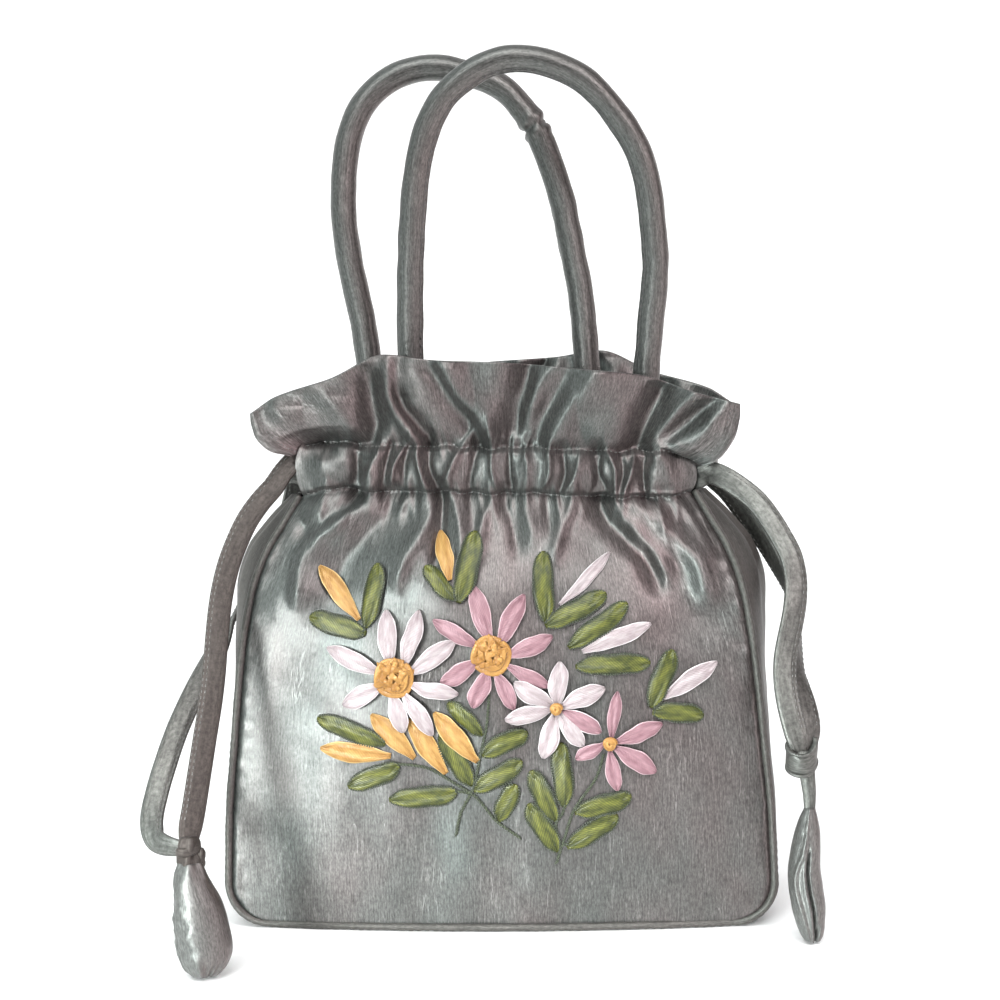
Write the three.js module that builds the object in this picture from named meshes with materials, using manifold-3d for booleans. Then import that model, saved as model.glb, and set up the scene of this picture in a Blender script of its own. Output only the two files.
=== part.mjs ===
// A satin drawstring handbag with a frilled top, padded handles, piped seams and ribbon embroidery.
// Millimetres, +Z up, +X to the right as seen from the front, front face towards -Y.
// The origin is the middle of the flat base, which stands on z = 0.

import * as THREE from 'three';
import { mergeVertices } from 'three/addons/utils/BufferGeometryUtils.js';
import Module from 'manifold-3d';

const wasm = await Module();
wasm.setup();

// Body
const bodyWidth = 220;
const baseDepth = 76;
const cornerRadius = 18;
const bodyHeight = 170.5;
const clothThickness = 1.6;
const seamGap = 0.4;
const pipingDiameter = 3;
const bellyDepth = 9;

// Gathered neck
const neckWidth = 156;
const neckDepth = 40;
const casingHeight = 19.5;
const foldDepth = 3.2;

// Frill
const frillHeight = 36;
const frillFlare = 19;
const frillLean = 9;

// Drawstrings
const stringWidth = 9;
const stringThickness = 2.4;
const bunchedWidth = 7;
const slideGap = 0.4;
const casingWall = 2.6;

// Handles
const handleDiameter = 10.4;
const frontHandleLeft = -33.5;
const frontHandleSpan = 94;
const backHandleLeft = -51;
const backHandleSpan = 89;
const handleHeight = 171;
const handleLean = 13;
const seatGap = 0.3;

// Knots and buds: sizes, and the middle of each one's upper end
const knotLength = 8;
const knotDiameter = 11.5;
const rightTailLength = 16.4;
const rightTailDrift = 1.6;
const leftBudLength = 42;
const leftBudDiameter = 22;
const leftBudDent = 5;
const rightBudLength = 51;
const rightBudDiameter = 20;
const rightBudFlatness = 0.72;
const leftKnotTop = [-110.5, -97.5, 51];
const leftBudTop = [-109.5, -97.5, 42.6];
const rightKnotTop = [117.2, -59, 76.8];
const rightBudTop = [119.5, -59.2, 52.1];

// Embroidery
const motifWidth = 160;
const motifTop = 165.5;
const motifLeft = -79;
const ribbonWidth = 7.6;
const ribbonHeight = 1;
const stitchGap = 0.5;
const stemWidth = 1.6;

// How finely the shapes are faceted
const frontColumns = 30;
const backColumns = 18;
const cornerSteps = 3;
const baseSteps = 10;
const gussetColumns = 4;
const casingSteps = 12;
const handleSteps = 26;
const handleSides = 10;
const pipingSides = 6;
const knotSides = 10;
const budSides = 12;

const halfWidth = bodyWidth / 2;
const halfStraight = halfWidth - cornerRadius;
const halfBase = baseDepth / 2;
const halfNeckWidth = neckWidth / 2;
const halfNeckDepth = neckDepth / 2;
const pipingRadius = pipingDiameter / 2;
const casingTop = bodyHeight + casingHeight;
const floorGap = 0.2;
const seamInset = floorGap + pipingRadius;
const seamClearance = pipingRadius + seamGap;

// Side of the bag from the corner up: shares of the height above the corner, of half the width,
// of half the base's depth at the seam and at the middle of a panel, and the gusset's bulge
// as a share of the base's depth
const sideSections = [
  { height: 0.0, width: 1.0, seamDepth: 1.0, belly: 0.7, bulge: 0.0 },
  { height: 0.18, width: 0.99, seamDepth: 1.0, belly: 0.88, bulge: 0.02 },
  { height: 0.37, width: 0.966, seamDepth: 0.97, belly: 1.0, bulge: 0.035 },
  { height: 0.54, width: 0.944, seamDepth: 0.92, belly: 1.0, bulge: 0.055 },
  { height: 0.67, width: 0.922, seamDepth: 0.855, belly: 1.0, bulge: 0.08 },
  { height: 0.775, width: 0.893, seamDepth: 0.765, belly: 0.98, bulge: 0.115 },
  { height: 0.86, width: 0.85, seamDepth: 0.64, belly: 0.95, bulge: 0.12 },
  { height: 0.93, width: 0.795, seamDepth: 0.49, belly: 0.93, bulge: 0.09 },
  { height: 1.0, width: 0.74, seamDepth: 0.35, belly: 0.9, bulge: 0.02 },
];

// Folds of the cloth from the neck: place and width as shares of half the panel's width,
// depths as shares of the fold depth (forwards is positive), fall as the share of the body's
// height in which the fold fades, drift as the share of half the width that it moves outwards
const folds = [
  { place: -0.93, width: 0.1, frill: 0.5, casing: 0.2, body: 0.5, fall: 0.3, drift: -0.05 },
  { place: -0.8, width: 0.07, frill: -0.7, casing: 0.35, body: 1.3, fall: 0.55, drift: -0.1 },
  { place: -0.68, width: 0.07, frill: 0.7, casing: -0.35, body: -0.7, fall: 0.4, drift: -0.08 },
  { place: -0.56, width: 0.06, frill: -1.5, casing: 0.35, body: 0.6, fall: 0.3, drift: -0.05 },
  { place: -0.42, width: 0.11, frill: 1.2, casing: 0.3, body: 0.9, fall: 0.35, drift: -0.04 },
  { place: -0.3, width: 0.06, frill: 0.5, casing: -0.4, body: -1.5, fall: 0.4, drift: -0.02 },
  { place: -0.16, width: 0.07, frill: 1.1, casing: 0.4, body: 1.1, fall: 0.35, drift: 0.0 },
  { place: 0.06, width: 0.06, frill: -1.4, casing: -0.4, body: -0.8, fall: 0.3, drift: 0.0 },
  { place: 0.25, width: 0.08, frill: 1.2, casing: 0.35, body: 0.8, fall: 0.3, drift: 0.03 },
  { place: 0.44, width: 0.08, frill: -0.6, casing: -0.35, body: -0.9, fall: 0.35, drift: 0.05 },
  { place: 0.6, width: 0.08, frill: 0.9, casing: 0.35, body: 1.4, fall: 0.5, drift: 0.09 },
  { place: 0.75, width: 0.06, frill: -1.4, casing: -0.4, body: -0.8, fall: 0.35, drift: 0.08 },
  { place: 0.9, width: 0.1, frill: 1.2, casing: 0.4, body: 0.9, fall: 0.45, drift: 0.06 },
];

// Upper edge of the frill: shares of half its width and of its height above the casing
const frillEdge = [
  { across: -1.0, height: 0.4 },
  { across: -0.9, height: 0.58 },
  { across: -0.66, height: 0.78 },
  { across: -0.44, height: 1.03 },
  { across: -0.24, height: 0.96 },
  { across: 0.04, height: 0.92 },
  { across: 0.3, height: 0.85 },
  { across: 0.6, height: 0.76 },
  { across: 0.82, height: 0.56 },
  { across: 1.0, height: 0.42 },
];

// Rows of the casing and the frill: height as a share of each, thickness of the casing as a share
// of its full thickness
const casingRows = [
  { height: 0.11, thickness: 0.8 },
  { height: 0.5, thickness: 1.0 },
  { height: 0.89, thickness: 0.8 },
  { height: 1.0, thickness: 0.24 },
];
const frillRows = [0.3, 0.65, 1.0];

// Value of a column of a table at a place between its rows
function between(table, key, place, column) {
  const last = table.length - 1;
  if (place <= table[0][key]) return table[0][column];
  for (let i = 0; i < last; i++) {
    const low = table[i];
    const high = table[i + 1];
    if (place <= high[key]) {
      const share = (place - low[key]) / (high[key] - low[key]);
      return low[column] + share * (high[column] - low[column]);
    }
  }
  return table[last][column];
}

// Closed body from a grid of outer points and a grid of inner points of the same size
function sheet(outer, inner) {
  const rows = outer.length;
  const columns = outer[0].length;
  const positions = [...outer.flat(), ...inner.flat()].flatMap((point) => point.toArray());
  const faces = [];
  const front = (i, j) => i * columns + j;
  const rear = (i, j) => rows * columns + i * columns + j;
  const quad = (a, b, c, d) => faces.push(a, b, c, a, c, d);
  for (let i = 0; i < rows - 1; i++) {
    for (let j = 0; j < columns - 1; j++) {
      quad(front(i, j), front(i, j + 1), front(i + 1, j + 1), front(i + 1, j));
      quad(rear(i, j), rear(i + 1, j), rear(i + 1, j + 1), rear(i, j + 1));
    }
    quad(front(i, 0), front(i + 1, 0), rear(i + 1, 0), rear(i, 0));
    quad(front(i, columns - 1), rear(i, columns - 1), rear(i + 1, columns - 1), front(i + 1, columns - 1));
  }
  for (let j = 0; j < columns - 1; j++) {
    quad(front(0, j), rear(0, j), rear(0, j + 1), front(0, j + 1));
    quad(front(rows - 1, j), front(rows - 1, j + 1), rear(rows - 1, j + 1), rear(rows - 1, j));
  }
  const geometry = new THREE.BufferGeometry();
  geometry.setAttribute('position', new THREE.Float32BufferAttribute(positions, 3));
  geometry.setIndex(faces);
  return geometry;
}

// Path whose stations a section follows, with the section's width turned as each station says
class StationPath extends THREE.Curve {
  constructor(stations, widthways) {
    super();
    this.stations = stations;
    this.widthways = widthways;
  }

  getSpacedPoints() {
    return this.stations;
  }

  computeFrenetFrames() {
    const last = this.stations.length - 1;
    const frames = { tangents: [], normals: [], binormals: [] };
    this.stations.forEach((point, i) => {
      const before = this.stations[Math.max(i - 1, 0)];
      const after = this.stations[Math.min(i + 1, last)];
      const tangent = new THREE.Vector3().subVectors(after, before).normalize();
      const facing = this.widthways(i / last, tangent);
      const normal = new THREE.Vector3().crossVectors(tangent, facing).normalize();
      frames.tangents.push(tangent);
      frames.normals.push(normal);
      frames.binormals.push(new THREE.Vector3().crossVectors(tangent, normal));
    });
    return frames;
  }
}

// Oval section with the given number of sides
function oval(width, thickness, sides) {
  const outline = new THREE.Shape();
  for (let k = 0; k < sides; k++) {
    const angle = (2 * Math.PI * (k + 0.5)) / sides;
    const scale = 1 / Math.cos(Math.PI / sides);
    const x = (width / 2) * scale * Math.cos(angle);
    const y = (thickness / 2) * scale * Math.sin(angle);
    if (k === 0) outline.moveTo(x, y);
    else outline.lineTo(x, y);
  }
  outline.closePath();
  return outline;
}

// Flat section of a folded and stitched string: six sides, rounded at its two edges
function flatSection(width, thickness) {
  const flat = width / 2 - thickness * 0.4;
  const outline = new THREE.Shape();
  outline.moveTo(width / 2, 0);
  outline.lineTo(flat, thickness / 2);
  outline.lineTo(-flat, thickness / 2);
  outline.lineTo(-width / 2, 0);
  outline.lineTo(-flat, -thickness / 2);
  outline.lineTo(flat, -thickness / 2);
  outline.closePath();
  return outline;
}

function along(stations, section, widthways) {
  return new THREE.ExtrudeGeometry(section, {
    steps: stations.length - 1,
    extrudePath: new StationPath(stations, widthways),
    bevelEnabled: false,
  });
}

// Solids for cutting and joining
function closed(geometry) {
  const bare = geometry.clone();
  bare.deleteAttribute('normal');
  bare.deleteAttribute('uv');
  return mergeVertices(bare, 1e-4);
}

function solid(geometry) {
  const merged = closed(geometry);
  return new wasm.Manifold(new wasm.Mesh({
    numProp: 3,
    vertProperties: Float32Array.from(merged.attributes.position.array),
    triVerts: Uint32Array.from(merged.index.array),
  }));
}

function geometryOf(manifold) {
  const mesh = manifold.getMesh();
  const geometry = new THREE.BufferGeometry();
  geometry.setAttribute('position', new THREE.Float32BufferAttribute(mesh.vertProperties, 3));
  geometry.setIndex(new THREE.Uint32BufferAttribute(mesh.triVerts, 1));
  return geometry;
}

function joined(geometries) {
  return geometryOf(geometries.map(solid).reduce((sum, part) => sum.add(part)));
}

// Stations of the U-shaped seam, from the left side's top round the base to the right side's top.
// Each has the seam's middle line, the way out of the bag in the seam's plane and the gusset's bulge
const sideShareRows = sideSections.map((section) => section.height);
const straightHeight = bodyHeight - cornerRadius;

function sideStation(share, side) {
  const width = between(sideSections, 'height', share, 'width') * halfWidth;
  return {
    x: side * (width - seamInset),
    z: cornerRadius + share * straightHeight,
    depth: between(sideSections, 'height', share, 'seamDepth') * halfBase,
    out: new THREE.Vector3(side, 0, 0),
    bulge: between(sideSections, 'height', share, 'bulge') * baseDepth,
  };
}

function cornerStation(angle, side) {
  const radius = cornerRadius - seamInset;
  const out = new THREE.Vector3(side * Math.cos(angle), 0, -Math.sin(angle));
  return {
    x: side * halfStraight + radius * out.x,
    z: cornerRadius + radius * out.z,
    depth: halfBase,
    out,
    bulge: 0,
  };
}

function sideStations(side) {
  const stations = sideShareRows.map((share) => sideStation(share, side)).reverse();
  for (let k = 1; k <= cornerSteps; k++) {
    stations.push(cornerStation((k / cornerSteps) * (Math.PI / 2), side));
  }
  return stations;
}

function bottomBow(x) {
  const share = Math.min(1, Math.abs(x) / halfStraight);
  return sideSections[0].belly * bellyDepth * (1 - share * share);
}

function seamStations() {
  const left = sideStations(-1);
  const right = sideStations(1).reverse();
  const base = [];
  for (let k = 1; k < baseSteps; k++) {
    const x = -halfStraight + (2 * halfStraight * k) / baseSteps;
    base.push({
      x,
      z: seamInset,
      depth: halfBase + bottomBow(x),
      out: new THREE.Vector3(0, 0, -1),
      bulge: 0,
    });
  }
  return [...left, ...base, ...right];
}

const seam = seamStations();

function piping(side) {
  const stations = seam.map((station) => new THREE.Vector3(station.x, side * station.depth, station.z));
  const upright = new THREE.Vector3(0, 1, 0);
  return along(stations, oval(pipingDiameter, pipingDiameter, pipingSides), () => upright);
}

// The strip between the panels: sides that bulge outwards near the top, and the flat base
function gusset() {
  const layer = (inset) => seam.map((station) => {
    const reach = station.depth - seamClearance;
    const line = [];
    for (let j = 0; j <= gussetColumns; j++) {
      const share = (2 * j) / gussetColumns - 1;
      const offset = seamInset - inset + station.bulge * (1 - share * share);
      line.push(new THREE.Vector3(
        station.x + station.out.x * offset,
        share * reach,
        station.z + station.out.z * offset,
      ));
    }
    return line;
  });
  return sheet(layer(0), layer(clothThickness));
}

// Height, half width, depth at the seam and at the middle, and half thickness of each row of a panel
const casingThickness = stringThickness + 2 * slideGap + 2 * casingWall;
const neckEdgeDepth = sideSections[sideSections.length - 1].seamDepth * halfBase;

function panelRows() {
  const rows = [];
  const cornerReach = cornerRadius - seamInset - seamClearance;
  for (let k = cornerSteps; k > 0; k--) {
    const angle = (k / cornerSteps) * (Math.PI / 2);
    rows.push({
      z: cornerRadius - cornerReach * Math.sin(angle),
      width: halfStraight + cornerReach * Math.cos(angle),
      edge: halfBase,
      middle: halfBase + sideSections[0].belly * bellyDepth,
      thickness: clothThickness,
      fade: 0,
    });
  }
  for (const section of sideSections) {
    const edge = section.seamDepth * halfBase;
    rows.push({
      z: cornerRadius + section.height * straightHeight,
      width: section.width * halfWidth - seamInset - seamClearance,
      edge,
      middle: edge + section.belly * bellyDepth,
      thickness: clothThickness,
      fade: section.height,
    });
  }
  for (const row of casingRows) {
    rows.push({
      z: bodyHeight + row.height * casingHeight,
      width: halfNeckWidth,
      edge: neckEdgeDepth,
      middle: halfNeckDepth,
      thickness: row.thickness * casingThickness,
      casing: true,
    });
  }
  for (const share of frillRows) {
    rows.push({
      share,
      width: halfNeckWidth + frillFlare * share,
      edge: neckEdgeDepth + (frillLean / 2) * share,
      middle: halfNeckDepth + frillLean * share,
      thickness: clothThickness,
      frill: true,
    });
  }
  return rows;
}

// How far the folds push a place of the front panel forwards. A fold grows to its full depth
// in the lower part of the frill, and close below the casing in the body. It fades at the side seams
const frillGrowth = 1.6;
const frillSpread = 0.3;
const bodyStart = 0.35;
const bodyGrowth = 4;
const bodySpread = 0.8;
const seamFade = 6;

function foldPush(across, row) {
  let push = 0;
  for (const fold of folds) {
    let depth = fold.casing;
    let place = fold.place;
    let width = fold.width;
    if (row.frill) {
      depth = fold.casing + (fold.frill - fold.casing) * Math.min(1, row.share * frillGrowth);
      width = fold.width * (1 + frillSpread * row.share);
    } else if (!row.casing) {
      const below = Math.min(1, (1 - row.fade) / fold.fall);
      depth = fold.body * (1 - below) * (1 - below) * Math.min(1, bodyStart + below * bodyGrowth);
      place = fold.place + fold.drift * below;
      width = fold.width * (1 + bodySpread * below);
    }
    const distance = (across - place) / width;
    push += depth * foldDepth * Math.exp(-distance * distance);
  }
  return push * Math.min(1, seamFade * (1 - Math.abs(across)));
}

function rowDepth(row, across) {
  return row.edge + (row.middle - row.edge) * (1 - across * across) + foldPush(across, row);
}

function rowHeight(row, across) {
  if (!row.frill) return row.z;
  return casingTop + row.share * frillHeight * between(frillEdge, 'across', across, 'height');
}

// Outer and inner surface of a panel, from the base seam to the frill's edge, seen from the front
function panelGrids(columns, mirrored) {
  const outer = [];
  const inner = [];
  for (const row of panelRows()) {
    const outerLine = [];
    const innerLine = [];
    for (let j = 0; j <= columns; j++) {
      const across = (2 * j) / columns - 1;
      const place = mirrored ? -across : across;
      const height = rowHeight(row, place);
      const depth = rowDepth(row, place);
      const half = row.thickness / 2;
      outerLine.push(new THREE.Vector3(across * row.width, -depth - half, height));
      innerLine.push(new THREE.Vector3(across * row.width, -depth + half, height));
    }
    outer.push(outerLine);
    inner.push(innerLine);
  }
  return { outer, inner };
}

const frontGrids = panelGrids(frontColumns, false);

// Middle line of the casing in plan, at a share of half the neck, in front or behind
function casingPoint(across, side, height) {
  const depth = neckEdgeDepth + (halfNeckDepth - neckEdgeDepth) * (1 - across * across);
  return new THREE.Vector3(across * halfNeckWidth, side * depth, height);
}

const stringEnd = 0.998;
const upperLane = bodyHeight + casingHeight / 2 + bunchedWidth / 2 + slideGap / 2;
const lowerLane = bodyHeight + casingHeight / 2 - bunchedWidth / 2 - slideGap / 2;

// The hollow of the casing that the two drawstrings run in
function tunnel() {
  const height = 2 * bunchedWidth + 4 * slideGap;
  const middle = (upperLane + lowerLane) / 2;
  const stations = [];
  for (let k = -1; k <= casingSteps + 1; k++) {
    stations.push(casingPoint((2 * k) / casingSteps - 1, -1, middle));
  }
  const facing = new THREE.Vector3(0, -1, 0);
  return along(stations, flatSection(height, stringThickness + 2 * slideGap), () => facing);
}

function panel(columns, mirrored) {
  const grids = mirrored ? panelGrids(columns, true) : frontGrids;
  return geometryOf(solid(sheet(grids.outer, grids.inner)).subtract(solid(tunnel())));
}

function turnedBehind(geometry) {
  return geometry.applyMatrix4(new THREE.Matrix4().makeRotationZ(Math.PI));
}

// A drawstring's stretch inside the bag: through the front casing, round one side, back through
// the rear casing. Its two ends stop at the casing's mouths on the other side
function heldString(side, lane) {
  const stations = [];
  const mouth = (k) => (k === 0 ? stringEnd : 1 - (2 * k) / casingSteps);
  for (let k = 0; k <= casingSteps; k++) {
    stations.push(casingPoint(side * mouth(k), -1, lane));
  }
  const turn = 5;
  for (let k = 1; k < turn; k++) {
    const angle = (Math.PI * k) / turn;
    stations.push(new THREE.Vector3(
      -side * (halfNeckWidth + neckEdgeDepth * 0.8 * Math.sin(angle)),
      -neckEdgeDepth * Math.cos(angle),
      lane,
    ));
  }
  for (let k = casingSteps; k >= 0; k--) {
    stations.push(casingPoint(side * mouth(k), 1, lane));
  }
  return along(stations, flatSection(bunchedWidth, stringThickness), (share, tangent) => (
    new THREE.Vector3(-tangent.y, tangent.x, 0)
  ));
}

// Routes of the free runs, from the casing's mouth to the knot, and the way that their flat side
// faces at each end, as degrees round the upright axis. Each run leaves its mouth straight out
const leftFrontRoute = [
  [-79.3, -13.6, 185], [-82.2, -14.4, 184.4], [-85.6, -18.2, 180], [-88.6, -22.4, 175],
  [-92.7, -26, 170.2], [-97.8, -30, 162.8], [-101.6, -34, 154.3], [-104.5, -39, 145],
  [-106.5, -45, 132.8], [-107, -53, 118.3], [-106.9, -60, 107], [-107.2, -66, 97.3],
  [-108.2, -74, 84.7], [-109.2, -82, 71.7], [-110, -90, 60], [-110.6, -95.3, 52.4],
];
const leftBackRoute = [
  [-79.3, 13.6, 185], [-82.2, 14.4, 184.4], [-85.4, 20, 178.6], [-87.6, 26, 171],
  [-91.5, 31.5, 160], [-96.5, 33.5, 147], [-103, 29.5, 134], [-110, 17, 122.5],
  [-113.6, 3, 115], [-115, -12, 108.6], [-119, -34, 97.3], [-123.4, -52, 83.7],
  [-125.7, -64, 73], [-127.6, -74, 62], [-127.5, -82.5, 54], [-124.4, -88.5, 49],
  [-116.3, -94.4, 48],
];
const rightFrontRoute = [
  [79.3, -13.6, 175.4], [81.8, -14.2, 176], [85.6, -17.6, 177.8], [91.1, -23, 176],
  [97.5, -26, 171.8], [103.1, -29, 166.9], [108.1, -33, 160.1], [112, -36, 153.3],
  [115.1, -39, 146.6], [116.7, -42, 136.5], [115.4, -46, 125.7], [113.3, -48.5, 116.8],
  [111.5, -51, 108.6], [111.1, -54, 100.7], [112, -57, 92.2], [114.2, -59.7, 82.5],
  [115.4, -60.7, 77.8],
];
const rightBackRoute = [
  [79.3, 13.6, 176], [82.2, 14.2, 176.9], [85, 16.2, 177], [88, 18, 174.5],
  [94.5, 14, 168.5], [101.5, 9.5, 158.5], [108, 2.5, 148.5], [113, -6, 139],
  [117, -18, 129.5], [118.2, -29, 120.5], [117.2, -38, 111.5], [116.6, -44.5, 102],
  [118.6, -50, 93], [120, -54.3, 84], [119.3, -56.7, 78],
];

function freeRun(route, steps, facingFrom, facingTo) {
  const [exit, ...rest] = route.map(([x, y, z]) => new THREE.Vector3(x, y, z));
  const curve = new THREE.CatmullRomCurve3(rest, false, 'centripetal');
  const stations = [exit, ...curve.getSpacedPoints(steps - 1)];
  const facing = (share) => {
    const angle = THREE.MathUtils.degToRad(facingFrom + (facingTo - facingFrom) * share);
    return new THREE.Vector3(Math.cos(angle), Math.sin(angle), 0);
  };
  return along(stations, flatSection(stringWidth, stringThickness), facing);
}

// Round pieces turned about their own upright axis, seen from the top down:
// place as a share of the length, radius as a share of half the diameter
const knotProfile = [
  { down: 0.0, radius: 0.62 },
  { down: 0.25, radius: 1.0 },
  { down: 0.75, radius: 1.0 },
  { down: 1.0, radius: 0.62 },
];
const leftBudProfile = [
  { down: 0.0, radius: 0.32 },
  { down: 0.1, radius: 0.4 },
  { down: 0.28, radius: 0.66 },
  { down: 0.5, radius: 0.94 },
  { down: 0.68, radius: 1.0 },
  { down: 0.84, radius: 0.86 },
  { down: 0.95, radius: 0.66 },
  { down: 1.0, radius: 0.6 },
];
const rightBudProfile = [
  { down: 0.0, radius: 0.34 },
  { down: 0.12, radius: 0.5 },
  { down: 0.35, radius: 0.76 },
  { down: 0.6, radius: 0.96 },
  { down: 0.75, radius: 1.0 },
  { down: 0.88, radius: 0.78 },
  { down: 0.97, radius: 0.38 },
  { down: 1.0, radius: 0.2 },
];

function turned(profile, length, diameter, dent, sides) {
  const points = [new THREE.Vector2(0, -length + dent)];
  for (const row of [...profile].reverse()) {
    points.push(new THREE.Vector2((row.radius * diameter) / 2, -row.down * length));
  }
  points.push(new THREE.Vector2(0, 0));
  const geometry = new THREE.LatheGeometry(points, sides);
  return geometry.applyMatrix4(new THREE.Matrix4().makeRotationX(Math.PI / 2));
}

// A knot with the flat strand that hangs from it to a bud
function knotWithTail(length) {
  const root = -knotLength * 0.7;
  const foot = -knotLength - length;
  const stations = [0, 0.5, 1].map((share) => (
    new THREE.Vector3(rightTailDrift * share, 0, root + share * (foot - root))
  ));
  const facing = new THREE.Vector3(0, -1, 0);
  const strand = along(stations, flatSection(bunchedWidth, stringThickness), () => facing);
  return joined([turned(knotProfile, knotLength, knotDiameter, 0, knotSides), strand]);
}

// Handles: shares of the span between the legs and of the handle's height above the casing's foot
const frontHandleArch = [
  { across: 0.02, up: 0.0 },
  { across: 0.0, up: 0.16 },
  { across: 0.0, up: 0.33 },
  { across: 0.01, up: 0.53 },
  { across: 0.035, up: 0.69 },
  { across: 0.08, up: 0.82 },
  { across: 0.165, up: 0.912 },
  { across: 0.285, up: 0.968 },
  { across: 0.385, up: 0.993 },
  { across: 0.485, up: 1.0 },
  { across: 0.63, up: 0.985 },
  { across: 0.77, up: 0.944 },
  { across: 0.885, up: 0.875 },
  { across: 0.965, up: 0.807 },
  { across: 1.015, up: 0.727 },
  { across: 1.04, up: 0.62 },
  { across: 1.05, up: 0.515 },
  { across: 1.03, up: 0.41 },
  { across: 1.01, up: 0.285 },
  { across: 0.99, up: 0.15 },
  { across: 0.97, up: 0.0 },
];
const backHandleArch = [
  { across: 0.0, up: 0.0 },
  { across: 0.0, up: 0.16 },
  { across: -0.02, up: 0.32 },
  { across: -0.05, up: 0.43 },
  { across: -0.095, up: 0.54 },
  { across: -0.125, up: 0.65 },
  { across: -0.125, up: 0.735 },
  { across: -0.1, up: 0.845 },
  { across: -0.04, up: 0.925 },
  { across: 0.06, up: 0.98 },
  { across: 0.18, up: 1.01 },
  { across: 0.31, up: 1.018 },
  { across: 0.42, up: 1.008 },
  { across: 0.6, up: 0.972 },
  { across: 0.7, up: 0.92 },
  { across: 0.775, up: 0.86 },
  { across: 0.835, up: 0.78 },
  { across: 0.885, up: 0.695 },
  { across: 0.925, up: 0.585 },
  { across: 0.965, up: 0.473 },
  { across: 0.99, up: 0.3 },
  { across: 1.0, up: 0.15 },
  { across: 1.0, up: 0.0 },
];

// How far the arch leans outwards at a height above the base
function archLean(height) {
  const share = Math.max(0, height - casingTop) / (bodyHeight + handleHeight - casingTop);
  return handleLean * Math.pow(share, 1.2);
}

// Nearest that a leg at a place across the bag may come to the cloth in front of it or behind it
function legDepth(x) {
  const radius = handleDiameter / 2;
  let nearest = Infinity;
  for (const row of panelRows().filter((each) => each.casing || each.frill)) {
    for (const shift of [-1, -0.5, 0, 0.5, 1]) {
      const across = (x + shift * radius) / row.width;
      const wall = rowDepth(row, across) - row.thickness / 2 - archLean(rowHeight(row, across));
      nearest = Math.min(nearest, wall);
    }
  }
  return nearest - seatGap - radius;
}

// A handle's legs stand behind the casing's inner wall, and the arch leans outwards above it
function handle(arch, left, span, side) {
  const footLeft = legDepth(left + arch[0].across * span);
  const footRight = legDepth(left + arch[arch.length - 1].across * span);
  const points = arch.map((row) => {
    const foot = footLeft + (footRight - footLeft) * Math.min(1, Math.max(0, row.across));
    const height = bodyHeight + row.up * handleHeight;
    return new THREE.Vector3(left + row.across * span, side * (foot + archLean(height)), height);
  });
  const stations = new THREE.CatmullRomCurve3(points, false, 'centripetal').getSpacedPoints(handleSteps);
  const facing = new THREE.Vector3(0, 1, 0);
  return along(stations, oval(handleDiameter, handleDiameter, handleSides), () => facing);
}

// Embroidery chart: a grid of 148 units across the motif, with its corner at the upper left.
// Each ribbon stitch runs from its tip to its base; over says how many ribbons lie under it
const chartUnits = 148;
const chartUnit = motifWidth / chartUnits;

const daisyCentres = {
  daisy_white: { centre: [37, 59], radius: 7, over: 2 },
  daisy_pink: { centre: [72, 51.5], radius: 7, over: 1 },
  small_daisy_white: { centre: [95, 70.5], radius: 2.6, over: 2 },
  small_daisy_pink: { centre: [114, 83.5], radius: 3, over: 1 },
};

const petals = {
  daisy_white: [
    { tip: [34, 35], base: [35.5, 55], wide: 0.95 },
    { tip: [46, 35], base: [40.5, 55.5], wide: 0.9 },
    { tip: [59, 46], base: [42, 57.5], wide: 0.95 },
    { tip: [60, 65], base: [42, 61], wide: 0.8 },
    { tip: [50.5, 80], base: [39.5, 63.5], wide: 0.85 },
    { tip: [40, 79], base: [35.5, 64], wide: 0.9 },
    { tip: [17.5, 69.5], base: [33, 61], wide: 0.95 },
    { tip: [12, 48.5], base: [32.5, 57], wide: 0.9 },
  ],
  daisy_pink: [
    { tip: [65.5, 26.5], base: [72, 47], wide: 0.95 },
    { tip: [84, 30], base: [74.5, 48.5], wide: 0.95 },
    { tip: [94, 45], base: [77, 51.5], wide: 0.9 },
    { tip: [93, 63], base: [77, 54.5], wide: 0.7 },
    { tip: [80, 71], base: [73, 57], wide: 0.8 },
    { tip: [65, 70], base: [70.5, 56], wide: 0.95 },
    { tip: [53.5, 61], base: [67.5, 53], wide: 0.9 },
    { tip: [51, 38.5], base: [68, 48.5], wide: 0.8 },
  ],
  small_daisy_white: [
    { tip: [96.5, 54], base: [95.3, 70], wide: 0.95 },
    { tip: [112.5, 63.5], base: [96.5, 70.2], wide: 0.95 },
    { tip: [104.5, 84.5], base: [96, 72], wide: 0.85 },
    { tip: [90, 88.5], base: [94.5, 72], wide: 0.95 },
    { tip: [76.5, 74.5], base: [93.5, 70.5], wide: 0.85 },
    { tip: [80, 61], base: [94, 69.5], wide: 0.95 },
    { tip: [111, 79.5], base: [97, 71.2], wide: 0.85 },
  ],
  small_daisy_pink: [
    { tip: [117, 65], base: [114.5, 82], wide: 0.65 },
    { tip: [133, 77], base: [116, 83], wide: 0.85 },
    { tip: [130.5, 94.5], base: [115.5, 85], wide: 0.95 },
    { tip: [116.5, 101], base: [114, 86], wide: 0.75 },
    { tip: [101.5, 89], base: [112, 83.5], wide: 0.7 },
  ],
};

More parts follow.
